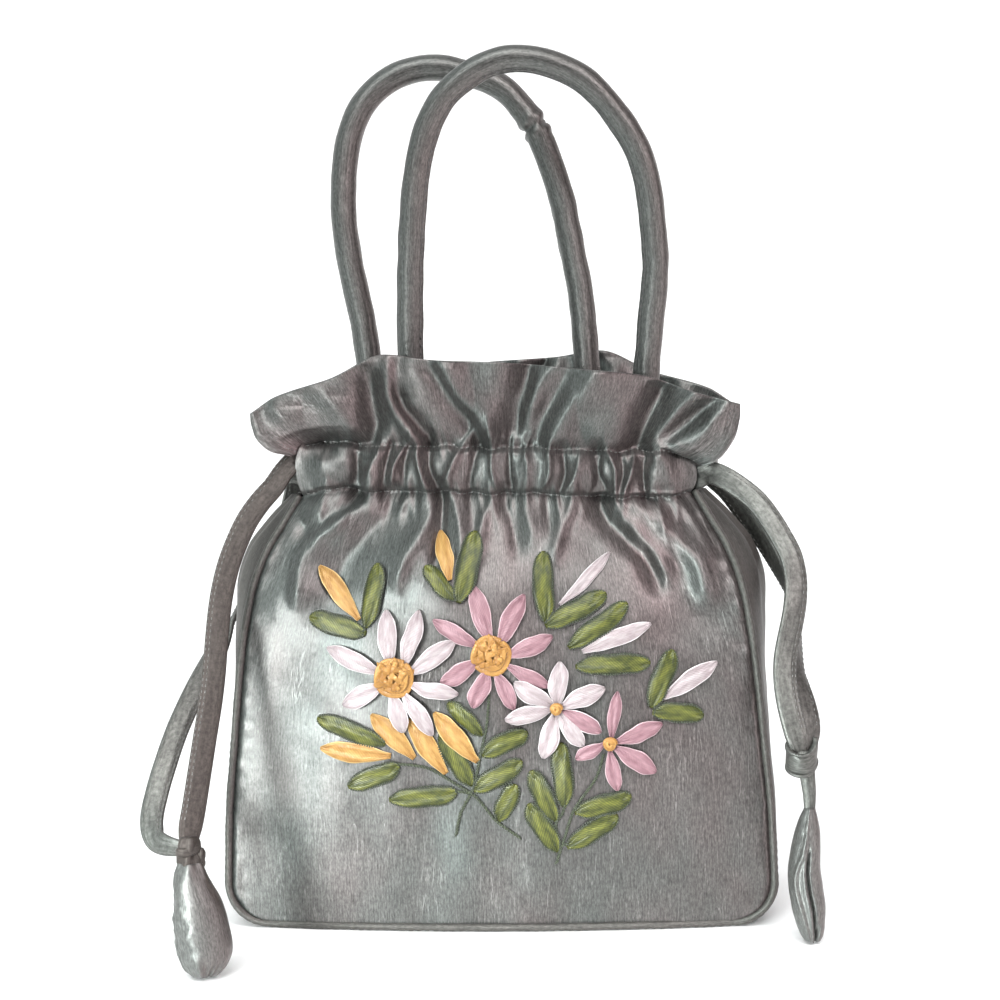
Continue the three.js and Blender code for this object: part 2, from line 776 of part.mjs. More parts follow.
const loosePetals = {
  yellow_bud_left: { tip: [9, 19.5], base: [24, 38.5], wide: 0.85 },
  yellow_bud_middle: { tip: [53.2, 7.5], base: [57.2, 24.6], wide: 0.8 },
  yellow_petal_1: { tip: [9, 85], base: [35, 87.5], wide: 0.95 },
  yellow_petal_2: { tip: [28, 72.5], base: [43.5, 88.5], wide: 1.0 },
  yellow_petal_3: { tip: [41.5, 74], base: [55, 94], wide: 1.0 },
  yellow_petal_4: { tip: [51, 71.5], base: [66.5, 89.5], wide: 1.0, over: 1 },
  white_bud_upper: { tip: [115, 16], base: [96.5, 34], wide: 0.6 },
  white_bud_middle: { tip: [129.4, 41], base: [104.6, 50.8], wide: 0.8 },
  white_bud_right: { tip: [153, 55.5], base: [133.2, 68.2], wide: 0.85 },
};

const leaves = {
  leaf_pair_left: {
    leaf: [
      { tip: [31, 18.5], base: [26.4, 41.5], wide: 0.9 },
      { tip: [5.5, 37.5], base: [26.6, 43.5], wide: 0.95 },
    ],
    stem: [[[27.4, 37], [25, 44.6]]],
  },
  leaf_pair_middle: {
    leaf: [
      { tip: [48, 19.5], base: [59.5, 31.5], wide: 0.75 },
      { tip: [66.5, 7.5], base: [60.3, 32.5], wide: 1.05 },
    ],
    stem: [[[61, 28], [58.5, 31.5]]],
  },
  leaf_pair_right: {
    leaf: [
      { tip: [91, 15], base: [91.6, 40], wide: 0.95 },
      { tip: [113.5, 30], base: [91.4, 41.4], wide: 0.95 },
    ],
    stem: [[[91.6, 36], [93.5, 41]]],
  },
  leaf_right_middle: { leaf: [{ tip: [121, 33.5], base: [99.5, 49.2], wide: 0.92 }], stem: [] },
  leaf_right_lower: { leaf: [{ tip: [129, 55], base: [102, 56], wide: 0.95 }], stem: [] },
  leaf_pair_far_right: {
    leaf: [
      { tip: [137, 50.5], base: [129, 71.5], wide: 0.95 },
      { tip: [148, 74.5], base: [129.4, 73], wide: 0.9 },
    ],
    stem: [[[129.8, 68], [130.5, 73.5]]],
  },
  leaf_far_left: { leaf: [{ tip: [8, 74], base: [33, 83.5], wide: 0.85 }], stem: [] },
  leaf_spray_middle: {
    leaf: [
      { tip: [56, 68], base: [68.4, 80], wide: 0.75 },
      { tip: [53.5, 78.5], base: [64.2, 98.6], wide: 1.0 },
      { tip: [84.5, 79], base: [68, 87.4], wide: 0.95 },
      { tip: [82.5, 89.5], base: [64.6, 100.4], wide: 0.95 },
      { tip: [38, 91], base: [19, 99], wide: 0.95 },
      { tip: [58.8, 101], base: [34, 103.5], wide: 0.95 },
      { tip: [80, 98], base: [73.4, 111.6], wide: 0.9 },
    ],
    stem: [
      [[71, 62], [70, 76], [67.2, 88], [65.6, 96], [64, 101], [60, 108], [58, 117]],
      [[36.5, 90.5], [48, 92], [56, 96.5], [64, 101.5]],
      [[56.5, 100.5], [64.5, 101.8], [72, 111], [81.5, 118]],
    ],
  },
  leaf_spray_right: {
    leaf: [
      { tip: [96.5, 83], base: [97.2, 106.5], wide: 0.95 },
      { tip: [85.5, 93], base: [94.4, 111.5], wide: 0.95 },
      { tip: [84.5, 105], base: [94.8, 123], wide: 0.95 },
      { tip: [121.5, 103], base: [101, 108.6], wide: 0.95 },
      { tip: [116.5, 110], base: [98, 121.5], wide: 0.95 },
    ],
    stem: [
      [[111.6, 87.5], [109, 96], [101, 107], [97.5, 117], [94, 127.5]],
      [[97.6, 104], [96.6, 109], [94.2, 112], [95.6, 120.5]],
      [[93, 120], [96.4, 120.6], [99, 120]],
    ],
  },
};

function chartX(across) {
  return motifLeft + across * chartUnit;
}

function chartZ(down) {
  return motifTop - down * chartUnit;
}

// How far forwards the front panel's cloth lies at a place of the chart's plane
function clothFront(x, z) {
  const rows = frontGrids.outer;
  let i = 0;
  while (i < rows.length - 2 && rows[i + 1][0].z < z) i++;
  const rise = (z - rows[i][0].z) / (rows[i + 1][0].z - rows[i][0].z);
  const edge = rows[i][frontColumns].x + rise * (rows[i + 1][frontColumns].x - rows[i][frontColumns].x);
  const place = ((x / edge + 1) / 2) * frontColumns;
  const j = Math.max(0, Math.min(frontColumns - 1, Math.floor(place)));
  const share = place - j;
  const low = rows[i][j].y + share * (rows[i][j + 1].y - rows[i][j].y);
  const high = rows[i + 1][j].y + share * (rows[i + 1][j + 1].y - rows[i + 1][j].y);
  return low + rise * (high - low);
}

// Outline of a ribbon stitch: shares of its length from the tip and of its half width
const stitchOutline = [
  { along: 0.0, half: 0.2 },
  { along: 0.2, half: 0.85 },
  { along: 0.6, half: 1.0 },
  { along: 1.0, half: 0.3 },
];

// A three-sided bar from station to station that lies on the cloth, crowned along its middle
function ribbon(stations, lift) {
  const positions = [];
  for (const station of stations) {
    const { x, z, half, height, away } = station;
    const edges = [-1, 1].map((side) => [x + side * half * away[0], z + side * half * away[1]]);
    const front = Math.min(clothFront(x, z), ...edges.map(([px, pz]) => clothFront(px, pz)));
    for (const [px, pz] of edges) {
      positions.push(px, front - lift, pz);
    }
    positions.push(x, front - lift - height, z);
  }
  const faces = [];
  const last = stations.length - 1;
  for (let i = 0; i < last; i++) {
    for (let k = 0; k < 3; k++) {
      const a = 3 * i + k;
      const b = 3 * i + ((k + 1) % 3);
      faces.push(a, b, b + 3, a, b + 3, a + 3);
    }
  }
  faces.push(0, 2, 1, 3 * last, 3 * last + 1, 3 * last + 2);
  const geometry = new THREE.BufferGeometry();
  geometry.setAttribute('position', new THREE.Float32BufferAttribute(positions, 3));
  geometry.setIndex(faces);
  return geometry;
}

function liftOf(over) {
  return stitchGap + over * (ribbonHeight + stitchGap);
}

function ribbonStitch(stitch, over) {
  const tip = [chartX(stitch.tip[0]), chartZ(stitch.tip[1])];
  const base = [chartX(stitch.base[0]), chartZ(stitch.base[1])];
  const length = Math.hypot(base[0] - tip[0], base[1] - tip[1]);
  const away = [-(base[1] - tip[1]) / length, (base[0] - tip[0]) / length];
  const stations = stitchOutline.map((row) => ({
    x: tip[0] + row.along * (base[0] - tip[0]),
    z: tip[1] + row.along * (base[1] - tip[1]),
    half: (row.half * stitch.wide * ribbonWidth) / 2,
    height: ribbonHeight * (0.5 + 0.5 * row.half),
    away,
  }));
  return ribbon(stations, liftOf(over));
}

function stemStitch(points) {
  const places = points.map(([across, down]) => [chartX(across), chartZ(down)]);
  const last = places.length - 1;
  const stations = places.map(([x, z], i) => {
    const before = places[Math.max(i - 1, 0)];
    const after = places[Math.min(i + 1, last)];
    const length = Math.hypot(after[0] - before[0], after[1] - before[1]);
    const away = [-(after[1] - before[1]) / length, (after[0] - before[0]) / length];
    return { x, z, half: stemWidth / 2, height: ribbonHeight * 0.8, away };
  });
  return ribbon(stations, stitchGap);
}

// Knotted centre of a daisy: a low dome from the cloth to just above the petals
const domeSides = 10;
const domeProfile = [
  { out: 1.0, up: 0.0 },
  { out: 1.0, up: 0.45 },
  { out: 0.72, up: 0.85 },
  { out: 0.0, up: 1.0 },
];

function daisyCentre({ centre, radius, over }) {
  const x = chartX(centre[0]);
  const z = chartZ(centre[1]);
  let front = clothFront(x, z);
  for (let k = 0; k < domeSides; k++) {
    const angle = (2 * Math.PI * k) / domeSides;
    const reach = radius * chartUnit;
    front = Math.min(front, clothFront(x + reach * Math.cos(angle), z + reach * Math.sin(angle)));
  }
  const height = over * (ribbonHeight + stitchGap) + ribbonHeight * 1.9;
  const points = [new THREE.Vector2(0, 0)];
  for (const row of domeProfile) {
    points.push(new THREE.Vector2(row.out * radius * chartUnit, row.up * height));
  }
  const geometry = new THREE.LatheGeometry(points, domeSides);
  geometry.applyMatrix4(new THREE.Matrix4().makeRotationX(Math.PI));
  return geometry.applyMatrix4(new THREE.Matrix4().makeTranslation(x, front - stitchGap, z));
}

function daisy(name) {
  const { over } = daisyCentres[name];
  const ribbons = petals[name].map((stitch) => ribbonStitch(stitch, over));
  return joined([daisyCentre(daisyCentres[name]), ...ribbons]);
}

function leafSpray(name) {
  const { leaf, stem } = leaves[name];
  return joined([...leaf.map((stitch) => ribbonStitch(stitch, 0)), ...stem.map(stemStitch)]);
}

// Materials
function cloth(colour, roughness) {
  return new THREE.MeshStandardMaterial({ color: colour, roughness, metalness: 0 });
}

const satin = cloth(0x7d807a, 0.38);
const stringSatin = cloth(0x6f706a, 0.42);
const leafRibbon = cloth(0x6f7a2e, 0.5);
const yellowRibbon = cloth(0xe8b95a, 0.45);
const whiteRibbon = cloth(0xefe6e8, 0.4);
const pinkRibbon = cloth(0xc79aa6, 0.42);

const bag = new THREE.Group();

function add(name, geometry, material) {
  const mesh = new THREE.Mesh(closed(geometry), material);
  mesh.name = name;
  bag.add(mesh);
  return mesh;
}

add('front_panel', panel(frontColumns, false), satin);
add('back_panel', turnedBehind(panel(backColumns, true)), satin);
add('gusset', gusset(), satin);
add('front_piping', piping(-1), satin);
add('back_piping', piping(1), satin);
add('front_handle', handle(frontHandleArch, frontHandleLeft, frontHandleSpan, -1), satin);
add('back_handle', handle(backHandleArch, backHandleLeft, backHandleSpan, 1), satin);

add('drawstring_left_inside', heldString(-1, upperLane), stringSatin);
add('drawstring_right_inside', heldString(1, lowerLane), stringSatin);
add('drawstring_left_front', freeRun(leftFrontRoute, 22, 250, 270), stringSatin);
add('drawstring_left_back', freeRun(leftBackRoute, 26, 90, 270), stringSatin);
add('drawstring_right_front', freeRun(rightFrontRoute, 24, 290, 270), stringSatin);
add('drawstring_right_back', freeRun(rightBackRoute, 22, 90, -90), stringSatin);

// Knots and buds stand below the ends of the free runs
const leftKnot = add('left_knot', turned(knotProfile, knotLength, knotDiameter, 0, knotSides), stringSatin);
leftKnot.position.set(...leftKnotTop);
const leftBudShape = turned(leftBudProfile, leftBudLength, leftBudDiameter, leftBudDent, budSides);
const leftBud = add('left_bud', leftBudShape, stringSatin);
leftBud.position.set(...leftBudTop);
const rightKnot = add('right_knot', knotWithTail(rightTailLength), stringSatin);
rightKnot.position.set(...rightKnotTop);
const rightBudShape = turned(rightBudProfile, rightBudLength, rightBudDiameter, 0, budSides);
const rightBud = add('right_bud', rightBudShape, stringSatin);
rightBud.scale.set(rightBudFlatness, 1, 1);
rightBud.position.set(...rightBudTop);

const petalMaterials = {
  daisy_white: whiteRibbon,
  daisy_pink: pinkRibbon,
  small_daisy_white: whiteRibbon,
  small_daisy_pink: pinkRibbon,
};
for (const name of Object.keys(petals)) {
  add(name, daisy(name), petalMaterials[name]);
}
for (const [name, stitch] of Object.entries(loosePetals)) {
  const ribbonColour = name.startsWith('yellow') ? yellowRibbon : whiteRibbon;
  add(name, ribbonStitch(stitch, stitch.over ?? 0), ribbonColour);
}
for (const name of Object.keys(leaves)) {
  add(name, leafSpray(name), leafRibbon);
}

export default bag;
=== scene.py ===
"""A gathered satin reticule: frilled neck, padded handles, drawstrings with stuffed buds, ribbon flowers."""
import math

import bpy
import numpy as np
from mathutils import Matrix, Vector
from mathutils.bvhtree import BVHTree


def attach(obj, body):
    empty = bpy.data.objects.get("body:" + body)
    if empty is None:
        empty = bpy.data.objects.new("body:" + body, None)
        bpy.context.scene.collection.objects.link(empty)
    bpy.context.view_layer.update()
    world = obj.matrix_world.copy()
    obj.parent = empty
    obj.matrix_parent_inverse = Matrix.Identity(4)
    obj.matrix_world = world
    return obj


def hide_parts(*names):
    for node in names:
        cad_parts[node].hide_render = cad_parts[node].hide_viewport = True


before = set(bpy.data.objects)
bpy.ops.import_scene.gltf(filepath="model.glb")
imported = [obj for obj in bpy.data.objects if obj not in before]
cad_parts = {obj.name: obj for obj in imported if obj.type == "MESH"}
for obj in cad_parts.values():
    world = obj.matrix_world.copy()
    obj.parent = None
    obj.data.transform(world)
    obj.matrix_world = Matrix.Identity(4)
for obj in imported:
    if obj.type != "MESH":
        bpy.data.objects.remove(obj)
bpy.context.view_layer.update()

MM = 0.001

# Camera, as in the photograph: from slightly above, a few degrees to the right of the middle
EYE = Vector((39.8, -759.0, 228.6)) * MM
AIM = Vector((0.9, 0.0, 166.7)) * MM
ROLL_DEGREES = 1.04
# The lens is this many times as long as the sensor is wide
FOCAL_SHARE = 1.861
SENSOR_WIDTH = 36


def make_camera():
    data = bpy.data.cameras.new("camera")
    data.sensor_width = SENSOR_WIDTH
    data.lens = SENSOR_WIDTH * FOCAL_SHARE
    data.clip_start = 0.02
    data.clip_end = 20
    camera = bpy.data.objects.new("camera", data)
    bpy.context.scene.collection.objects.link(camera)
    turn = (AIM - EYE).to_track_quat("-Z", "Y").to_matrix().to_4x4()
    roll = Matrix.Rotation(math.radians(-ROLL_DEGREES), 4, "Z")
    camera.matrix_world = Matrix.Translation(EYE) @ turn @ roll
    bpy.context.scene.camera = camera


make_camera()


def rows_of(columns, rows):
    """A table's rows, each with its values by the names of the columns."""
    return [dict(zip(columns.split(), row)) for row in rows]


# Named sizes, in millimetres, as in the part's source
BODY_WIDTH = 220.0
BASE_DEPTH = 76.0
CORNER_RADIUS = 18.0
BODY_HEIGHT = 170.5
BELLY_DEPTH = 9.0
PIPING_RADIUS = 1.5
SEAM_INSET = 1.7
PIPING_GAP = 0.9
HALF_CLOTH = 0.8
NECK_WIDTH = 156.0
NECK_DEPTH = 40.0
CASING_HEIGHT = 19.5
FRILL_HEIGHT = 36.0
FRILL_FLARE = 19.0
FRILL_LEAN = 9.0
STRING_WIDTH = 9.0
STRING_THICKNESS = 2.4
BUNCHED_WIDTH = 7.0
HANDLE_DIAMETER = 10.4
HANDLE_HEIGHT = 171.0
HANDLE_LEAN = 13.0
CASING_TOP = BODY_HEIGHT + CASING_HEIGHT
HALF_WIDTH = BODY_WIDTH / 2
HALF_BASE = BASE_DEPTH / 2
HALF_STRAIGHT = HALF_WIDTH - CORNER_RADIUS
HALF_NECK = NECK_WIDTH / 2

# Side of the bag from the corner up, as in the part's source
SIDES = rows_of("height width seam belly bulge", [
    (0.0, 1.0, 1.0, 0.7, 0.0),
    (0.18, 0.99, 1.0, 0.88, 0.02),
    (0.37, 0.966, 0.97, 1.0, 0.035),
    (0.54, 0.944, 0.92, 1.0, 0.055),
    (0.67, 0.922, 0.855, 1.0, 0.08),
    (0.775, 0.893, 0.765, 0.98, 0.115),
    (0.86, 0.85, 0.64, 0.95, 0.12),
    (0.93, 0.795, 0.49, 0.93, 0.09),
    (1.0, 0.74, 0.35, 0.9, 0.02),
])
NECK_EDGE_DEPTH = 0.35 * HALF_BASE

# Upper edge of the frill: shares of half its width and of its height above the casing
FRILL_EDGE = rows_of("across height", [
    (-1.0, 0.4),
    (-0.9, 0.58),
    (-0.66, 0.78),
    (-0.44, 1.03),
    (-0.24, 0.96),
    (0.04, 0.92),
    (0.3, 0.85),
    (0.6, 0.76),
    (0.82, 0.56),
    (1.0, 0.42),
])


# Curves and numbers
def smooth(places, values, at):
    """Smooth values between the rows of a table, without overshoot."""
    places = np.asarray(places, float)
    values = np.asarray(values, float)
    steps = np.diff(places)
    slopes = np.diff(values) / steps
    tangents = np.empty(len(places))
    tangents[0], tangents[-1] = slopes[0], slopes[-1]
    product = slopes[:-1] * slopes[1:]
    total = slopes[:-1] + slopes[1:]
    tangents[1:-1] = np.where(product > 0, 2 * product / np.where(total == 0, 1, total), 0)
    at = np.clip(np.asarray(at, float), places[0], places[-1])
    i = np.clip(np.searchsorted(places, at) - 1, 0, len(steps) - 1)
    t = (at - places[i]) / steps[i]
    low = values[i] * (1 + 2 * t) * (1 - t) ** 2 + tangents[i] * steps[i] * t * (1 - t) ** 2
    return low + values[i + 1] * t * t * (3 - 2 * t) - tangents[i + 1] * steps[i] * t * t * (1 - t)


def column(table, name):
    return [row[name] for row in table]


def along(pairs, at):
    """Smooth values between pairs of place and value."""
    return smooth([place for place, _ in pairs], [value for _, value in pairs], at)


def bump(distance, width):
    return np.exp(-((distance / width) ** 2))


def ripples(x, y, size, seed, count=7):
    """Soft uneven waves of a size in millimetres, about one unit high, the same each time."""
    rng = np.random.default_rng(seed)
    total = 0.0
    for _ in range(count):
        angle, phase = rng.uniform(0, 2 * math.pi, 2)
        wave = 2 * math.pi / (size * rng.uniform(0.6, 1.7))
        total = total + np.sin(wave * (x * math.cos(angle) + y * math.sin(angle)) + phase)
    return total / math.sqrt(count)


def unit(vectors):
    return vectors / np.maximum(np.linalg.norm(vectors, axis=-1, keepdims=True), 1e-12)


def spaced(line, count):
    """The line at equally spaced places."""
    line = np.asarray(line, float)
    run = np.concatenate([[0], np.cumsum(np.linalg.norm(np.diff(line, axis=0), axis=1))])
    at = np.linspace(0, run[-1], count)
    return np.stack([np.interp(at, run, line[:, k]) for k in range(line.shape[1])], axis=1)


def curve_through(points, count):
    """Centripetal curve through points, at equally spaced places."""
    points = np.asarray(points, float)
    points = np.vstack([2 * points[0] - points[1], points, 2 * points[-1] - points[-2]])
    line = []
    for i in range(1, len(points) - 2):
        p = points[i - 1:i + 3]
        knots = np.concatenate([[0], np.cumsum(np.sqrt(np.linalg.norm(np.diff(p, axis=0), axis=1)))])
        for t in np.linspace(knots[1], knots[2], 24, endpoint=False):
            level = p
            for width in (1, 2, 3):
                starts, ends = knots[:4 - width], knots[width:]
                share = ((t - starts) / (ends - starts))[:, None]
                level = level[:-1] * (1 - share) + level[1:] * share
            line.append(level[0])
    line.append(points[-2])
    return spaced(line, count)


def run_of(line):
    return float(np.linalg.norm(np.diff(line, axis=0), axis=1).sum())


# Meshes
def grid_faces(rows, columns, start=0, ring=False, flip=False):
    across = columns if ring else columns - 1
    i, j = np.meshgrid(np.arange(rows - 1), np.arange(across), indexing="ij")
    a = start + i * columns + j
    b = start + i * columns + (j + 1) % columns
    faces = np.stack([a, b, b + columns, a + columns], axis=-1).reshape(-1, 4)
    return faces[:, ::-1] if flip else faces


def make_piece(name, points, faces, uvs=None, materials=(), indices=None):
    """A mesh piece from points in millimetres; uvs are in metres, one for each point."""
    points = np.asarray(points, float).reshape(-1, 3) * MM
    mesh = bpy.data.meshes.new(name)
    mesh.from_pydata(points.tolist(), [], [list(map(int, face)) for face in faces])
    if uvs is not None:
        loops = np.empty(len(mesh.loops), np.int32)
        mesh.loops.foreach_get("vertex_index", loops)
        layer = mesh.uv_layers.new(name="cloth")
        layer.data.foreach_set("uv", (np.asarray(uvs, float).reshape(-1, 2) * MM)[loops].ravel())
    for material in materials:
        mesh.materials.append(material)
    if indices is not None:
        mesh.polygons.foreach_set("material_index", np.asarray(indices, np.int32))
    mesh.polygons.foreach_set("use_smooth", np.ones(len(mesh.polygons), bool))
    mesh.validate()
    mesh.update()
    piece = bpy.data.objects.new(name, mesh)
    bpy.context.scene.collection.objects.link(piece)
    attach(piece, "root")
    return piece


def facing_front(line):
    return np.broadcast_to([0.0, -1.0, 0.0], np.shape(line))


class Build:
    """Collects several forms into one mesh."""

    def __init__(self):
        self.points, self.faces, self.uvs, self.indices, self.count = [], [], [], [], 0

    def add(self, points, faces, uvs=None, index=0):
        points = np.asarray(points, float).reshape(-1, 3)
        self.points.append(points)
        flat = np.zeros((len(points), 2)) if uvs is None else np.asarray(uvs, float)
        self.uvs.append(flat.reshape(-1, 2))
        self.faces += [tuple(int(k) + self.count for k in face) for face in faces]
        self.indices += [index] * len(faces) if isinstance(index, int) else list(index)
        self.count += len(points)

    def add_cloth(self, outer, inner, uvs, flip=False, open_at=(), index=0):
        """Two layers of cloth from grids, joined round their edge except at the places that stay open."""
        rows, columns = outer.shape[:2]
        count = rows * columns
        faces = [grid_faces(rows, columns, flip=flip), grid_faces(rows, columns, start=count, flip=not flip)]
        ring = [(0, j) for j in range(columns)] + [(i, columns - 1) for i in range(1, rows)]
        ring += [(rows - 1, j) for j in range(columns - 2, -1, -1)] + [(i, 0) for i in range(rows - 2, 0, -1)]
        marks = [i * columns + j for i, j in ring]
        pairs = zip(marks, marks[1:] + marks[:1])
        rim = [(a, a + count, b + count, b) for a, b in pairs if a not in open_at and b not in open_at]
        if flip:
            rim = [face[::-1] for face in rim]
        self.add(np.concatenate([outer.reshape(-1, 3), inner.reshape(-1, 3)]),
                 [tuple(face) for part in faces for face in part] + rim,
                 np.concatenate([uvs.reshape(-1, 2)] * 2), index)

    def piece(self, name, materials):
        return make_piece(name, np.vstack(self.points), self.faces, np.vstack(self.uvs), materials,
                          self.indices)


def frames_along(line, facing):
    """The way along, the way that the flat side faces and the way across, at each place of a line."""
    tangents = unit(np.gradient(line, axis=0))
    across = unit(np.cross(tangents, facing))
    return tangents, unit(np.cross(across, tangents)), across


def sweep(line, facing, width, thickness, sides, squareness=2.0, scale=None, relief=None, caps=True):
    """Points, faces and uvs of a tube with an oval or flat section, rounded off at its ends."""
    line = np.asarray(line, float)
    _, out, across = frames_along(line, facing)
    count = len(line)
    angle = np.linspace(0, 2 * math.pi, sides, endpoint=False)
    power = 2.0 / squareness
    a = np.sign(np.cos(angle)) * np.abs(np.cos(angle)) ** power * width / 2
    b = np.sign(np.sin(angle)) * np.abs(np.sin(angle)) ** power * thickness / 2
    grow = np.ones(count) if scale is None else np.asarray(scale, float)
    run = np.concatenate([[0], np.cumsum(np.linalg.norm(np.diff(line, axis=0), axis=1))])
    extra = np.zeros((count, sides)) if relief is None else relief(run[:, None], angle[None, :])
    size = 1 + extra / np.maximum(np.hypot(a, b), 0.1)[None, :]
    offset = across[:, None, :] * (a * size)[..., None] + out[:, None, :] * (b * size)[..., None]
    offset = offset * grow[:, None, None]
    points = line[:, None, :] + offset
    uvs = np.stack(np.broadcast_arrays(angle[None, :] * (width + thickness) / 4, run[:, None]), axis=-1)
    rings = [points[i] for i in range(count)]
    marks = [uvs[i] for i in range(count)]
    if caps:
        for share in (0.72, 0.3, 0.02):
            rings.insert(0, line[0] + offset[0] * share)
            marks.insert(0, uvs[0])
            rings.append(line[-1] + offset[-1] * share)
            marks.append(uvs[-1])
    faces = grid_faces(len(rings), sides, ring=True)
    return np.array(rings), faces, np.array(marks)


def spindles(build, starts, ends, radius, index=0, arch=0.0, lift=(0.0, -1.0, 0.0)):
    """Short round stitches between pairs of points, arched a little off the cloth."""
    starts, ends = np.asarray(starts, float), np.asarray(ends, float)
    shares = np.array([0.0, 0.12, 0.35, 0.65, 0.88, 1.0])
    widths = np.array([0.25, 0.8, 1.0, 1.0, 0.8, 0.25]) * radius
    lift = np.asarray(lift, float)
    for start, end in zip(starts, ends):
        line = start + (end - start) * shares[:, None] + lift * (arch * np.sin(math.pi * shares))[:, None]
        way = unit(end - start)
        side = unit(np.cross(way, lift))
        up = np.cross(side, way)
        angle = np.linspace(0, 2 * math.pi, 6, endpoint=False)
        ring = side * np.cos(angle)[:, None] + up * np.sin(angle)[:, None]
        points = line[:, None, :] + ring[None] * widths[:, None, None]
        faces = list(grid_faces(6, 6, ring=True)) + [range(5, -1, -1), range(30, 36)]
        build.add(points, faces, index=index)


# Materials
def clear_nodes(name):
    material = bpy.data.materials.new(name)
    material.use_nodes = True
    tree = material.node_tree
    tree.nodes.clear()
    output = tree.nodes.new("ShaderNodeOutputMaterial")
    shader = tree.nodes.new("ShaderNodeBsdfPrincipled")
    tree.links.new(shader.outputs["BSDF"], output.inputs["Surface"])
    return material, tree, shader


def node(tree, kind, **settings):
    made = tree.nodes.new(kind)
    for name, value in settings.items():
        if name in made.inputs:
            made.inputs[name].default_value = value
        else:
            setattr(made, name, value)
    return made


def stretched_noise(tree, vector, scales, detail=2.0, roughness=0.5):
    """Noise whose grain is as many to the metre along each of the cloth's two ways."""
    mapping = node(tree, "ShaderNodeMapping")
    mapping.inputs["Scale"].default_value = (scales[0], scales[1], 1.0)
    tree.links.new(vector, mapping.inputs["Vector"])
    noise = node(tree, "ShaderNodeTexNoise", Scale=1.0, Detail=detail, Roughness=roughness)
    tree.links.new(mapping.outputs["Vector"], noise.inputs["Vector"])
    return noise.outputs["Fac"]


def ramp(tree, factor, stops):
    """Colour ramp from pairs of place and colour or grey."""
    made = node(tree, "ShaderNodeValToRGB")
    elements = made.color_ramp.elements
    while len(elements) < len(stops):
        elements.new(0.5)
    for element, (place, value) in zip(elements, stops):
        element.position = place
        grey = (value, value, value) if isinstance(value, (int, float)) else value
        element.color = (*grey, 1.0)
    tree.links.new(factor, made.inputs["Fac"])
    return made.outputs["Color"]


def mixed(tree, kind, factor, first, second):
    mix = node(tree, "ShaderNodeMix", data_type="RGBA", blend_type=kind)
    for socket, value in ((mix.inputs[0], factor), (mix.inputs[6], first), (mix.inputs[7], second)):
        if isinstance(value, bpy.types.NodeSocket):
            tree.links.new(value, socket)
        elif isinstance(value, (int, float)):
            socket.default_value = value
        else:
            socket.default_value = (*value, 1.0)
    return mix.outputs[2]


def tinted(tree, colour, factor, stops):
    """The colour, lighter or darker by a ramp of greys."""
    return mixed(tree, "MULTIPLY", 1.0, colour, ramp(tree, factor, stops))


def bumped(tree, shader, heights):
    """Chains bumps of pairs of height and depth in metres."""
    normal = None
    for height, depth in heights:
        made = node(tree, "ShaderNodeBump", Strength=1.0, Distance=depth)
        tree.links.new(height, made.inputs["Height"])
        if normal is not None:
            tree.links.new(normal, made.inputs["Normal"])
        normal = made.outputs["Normal"]
    tree.links.new(normal, shader.inputs["Normal"])


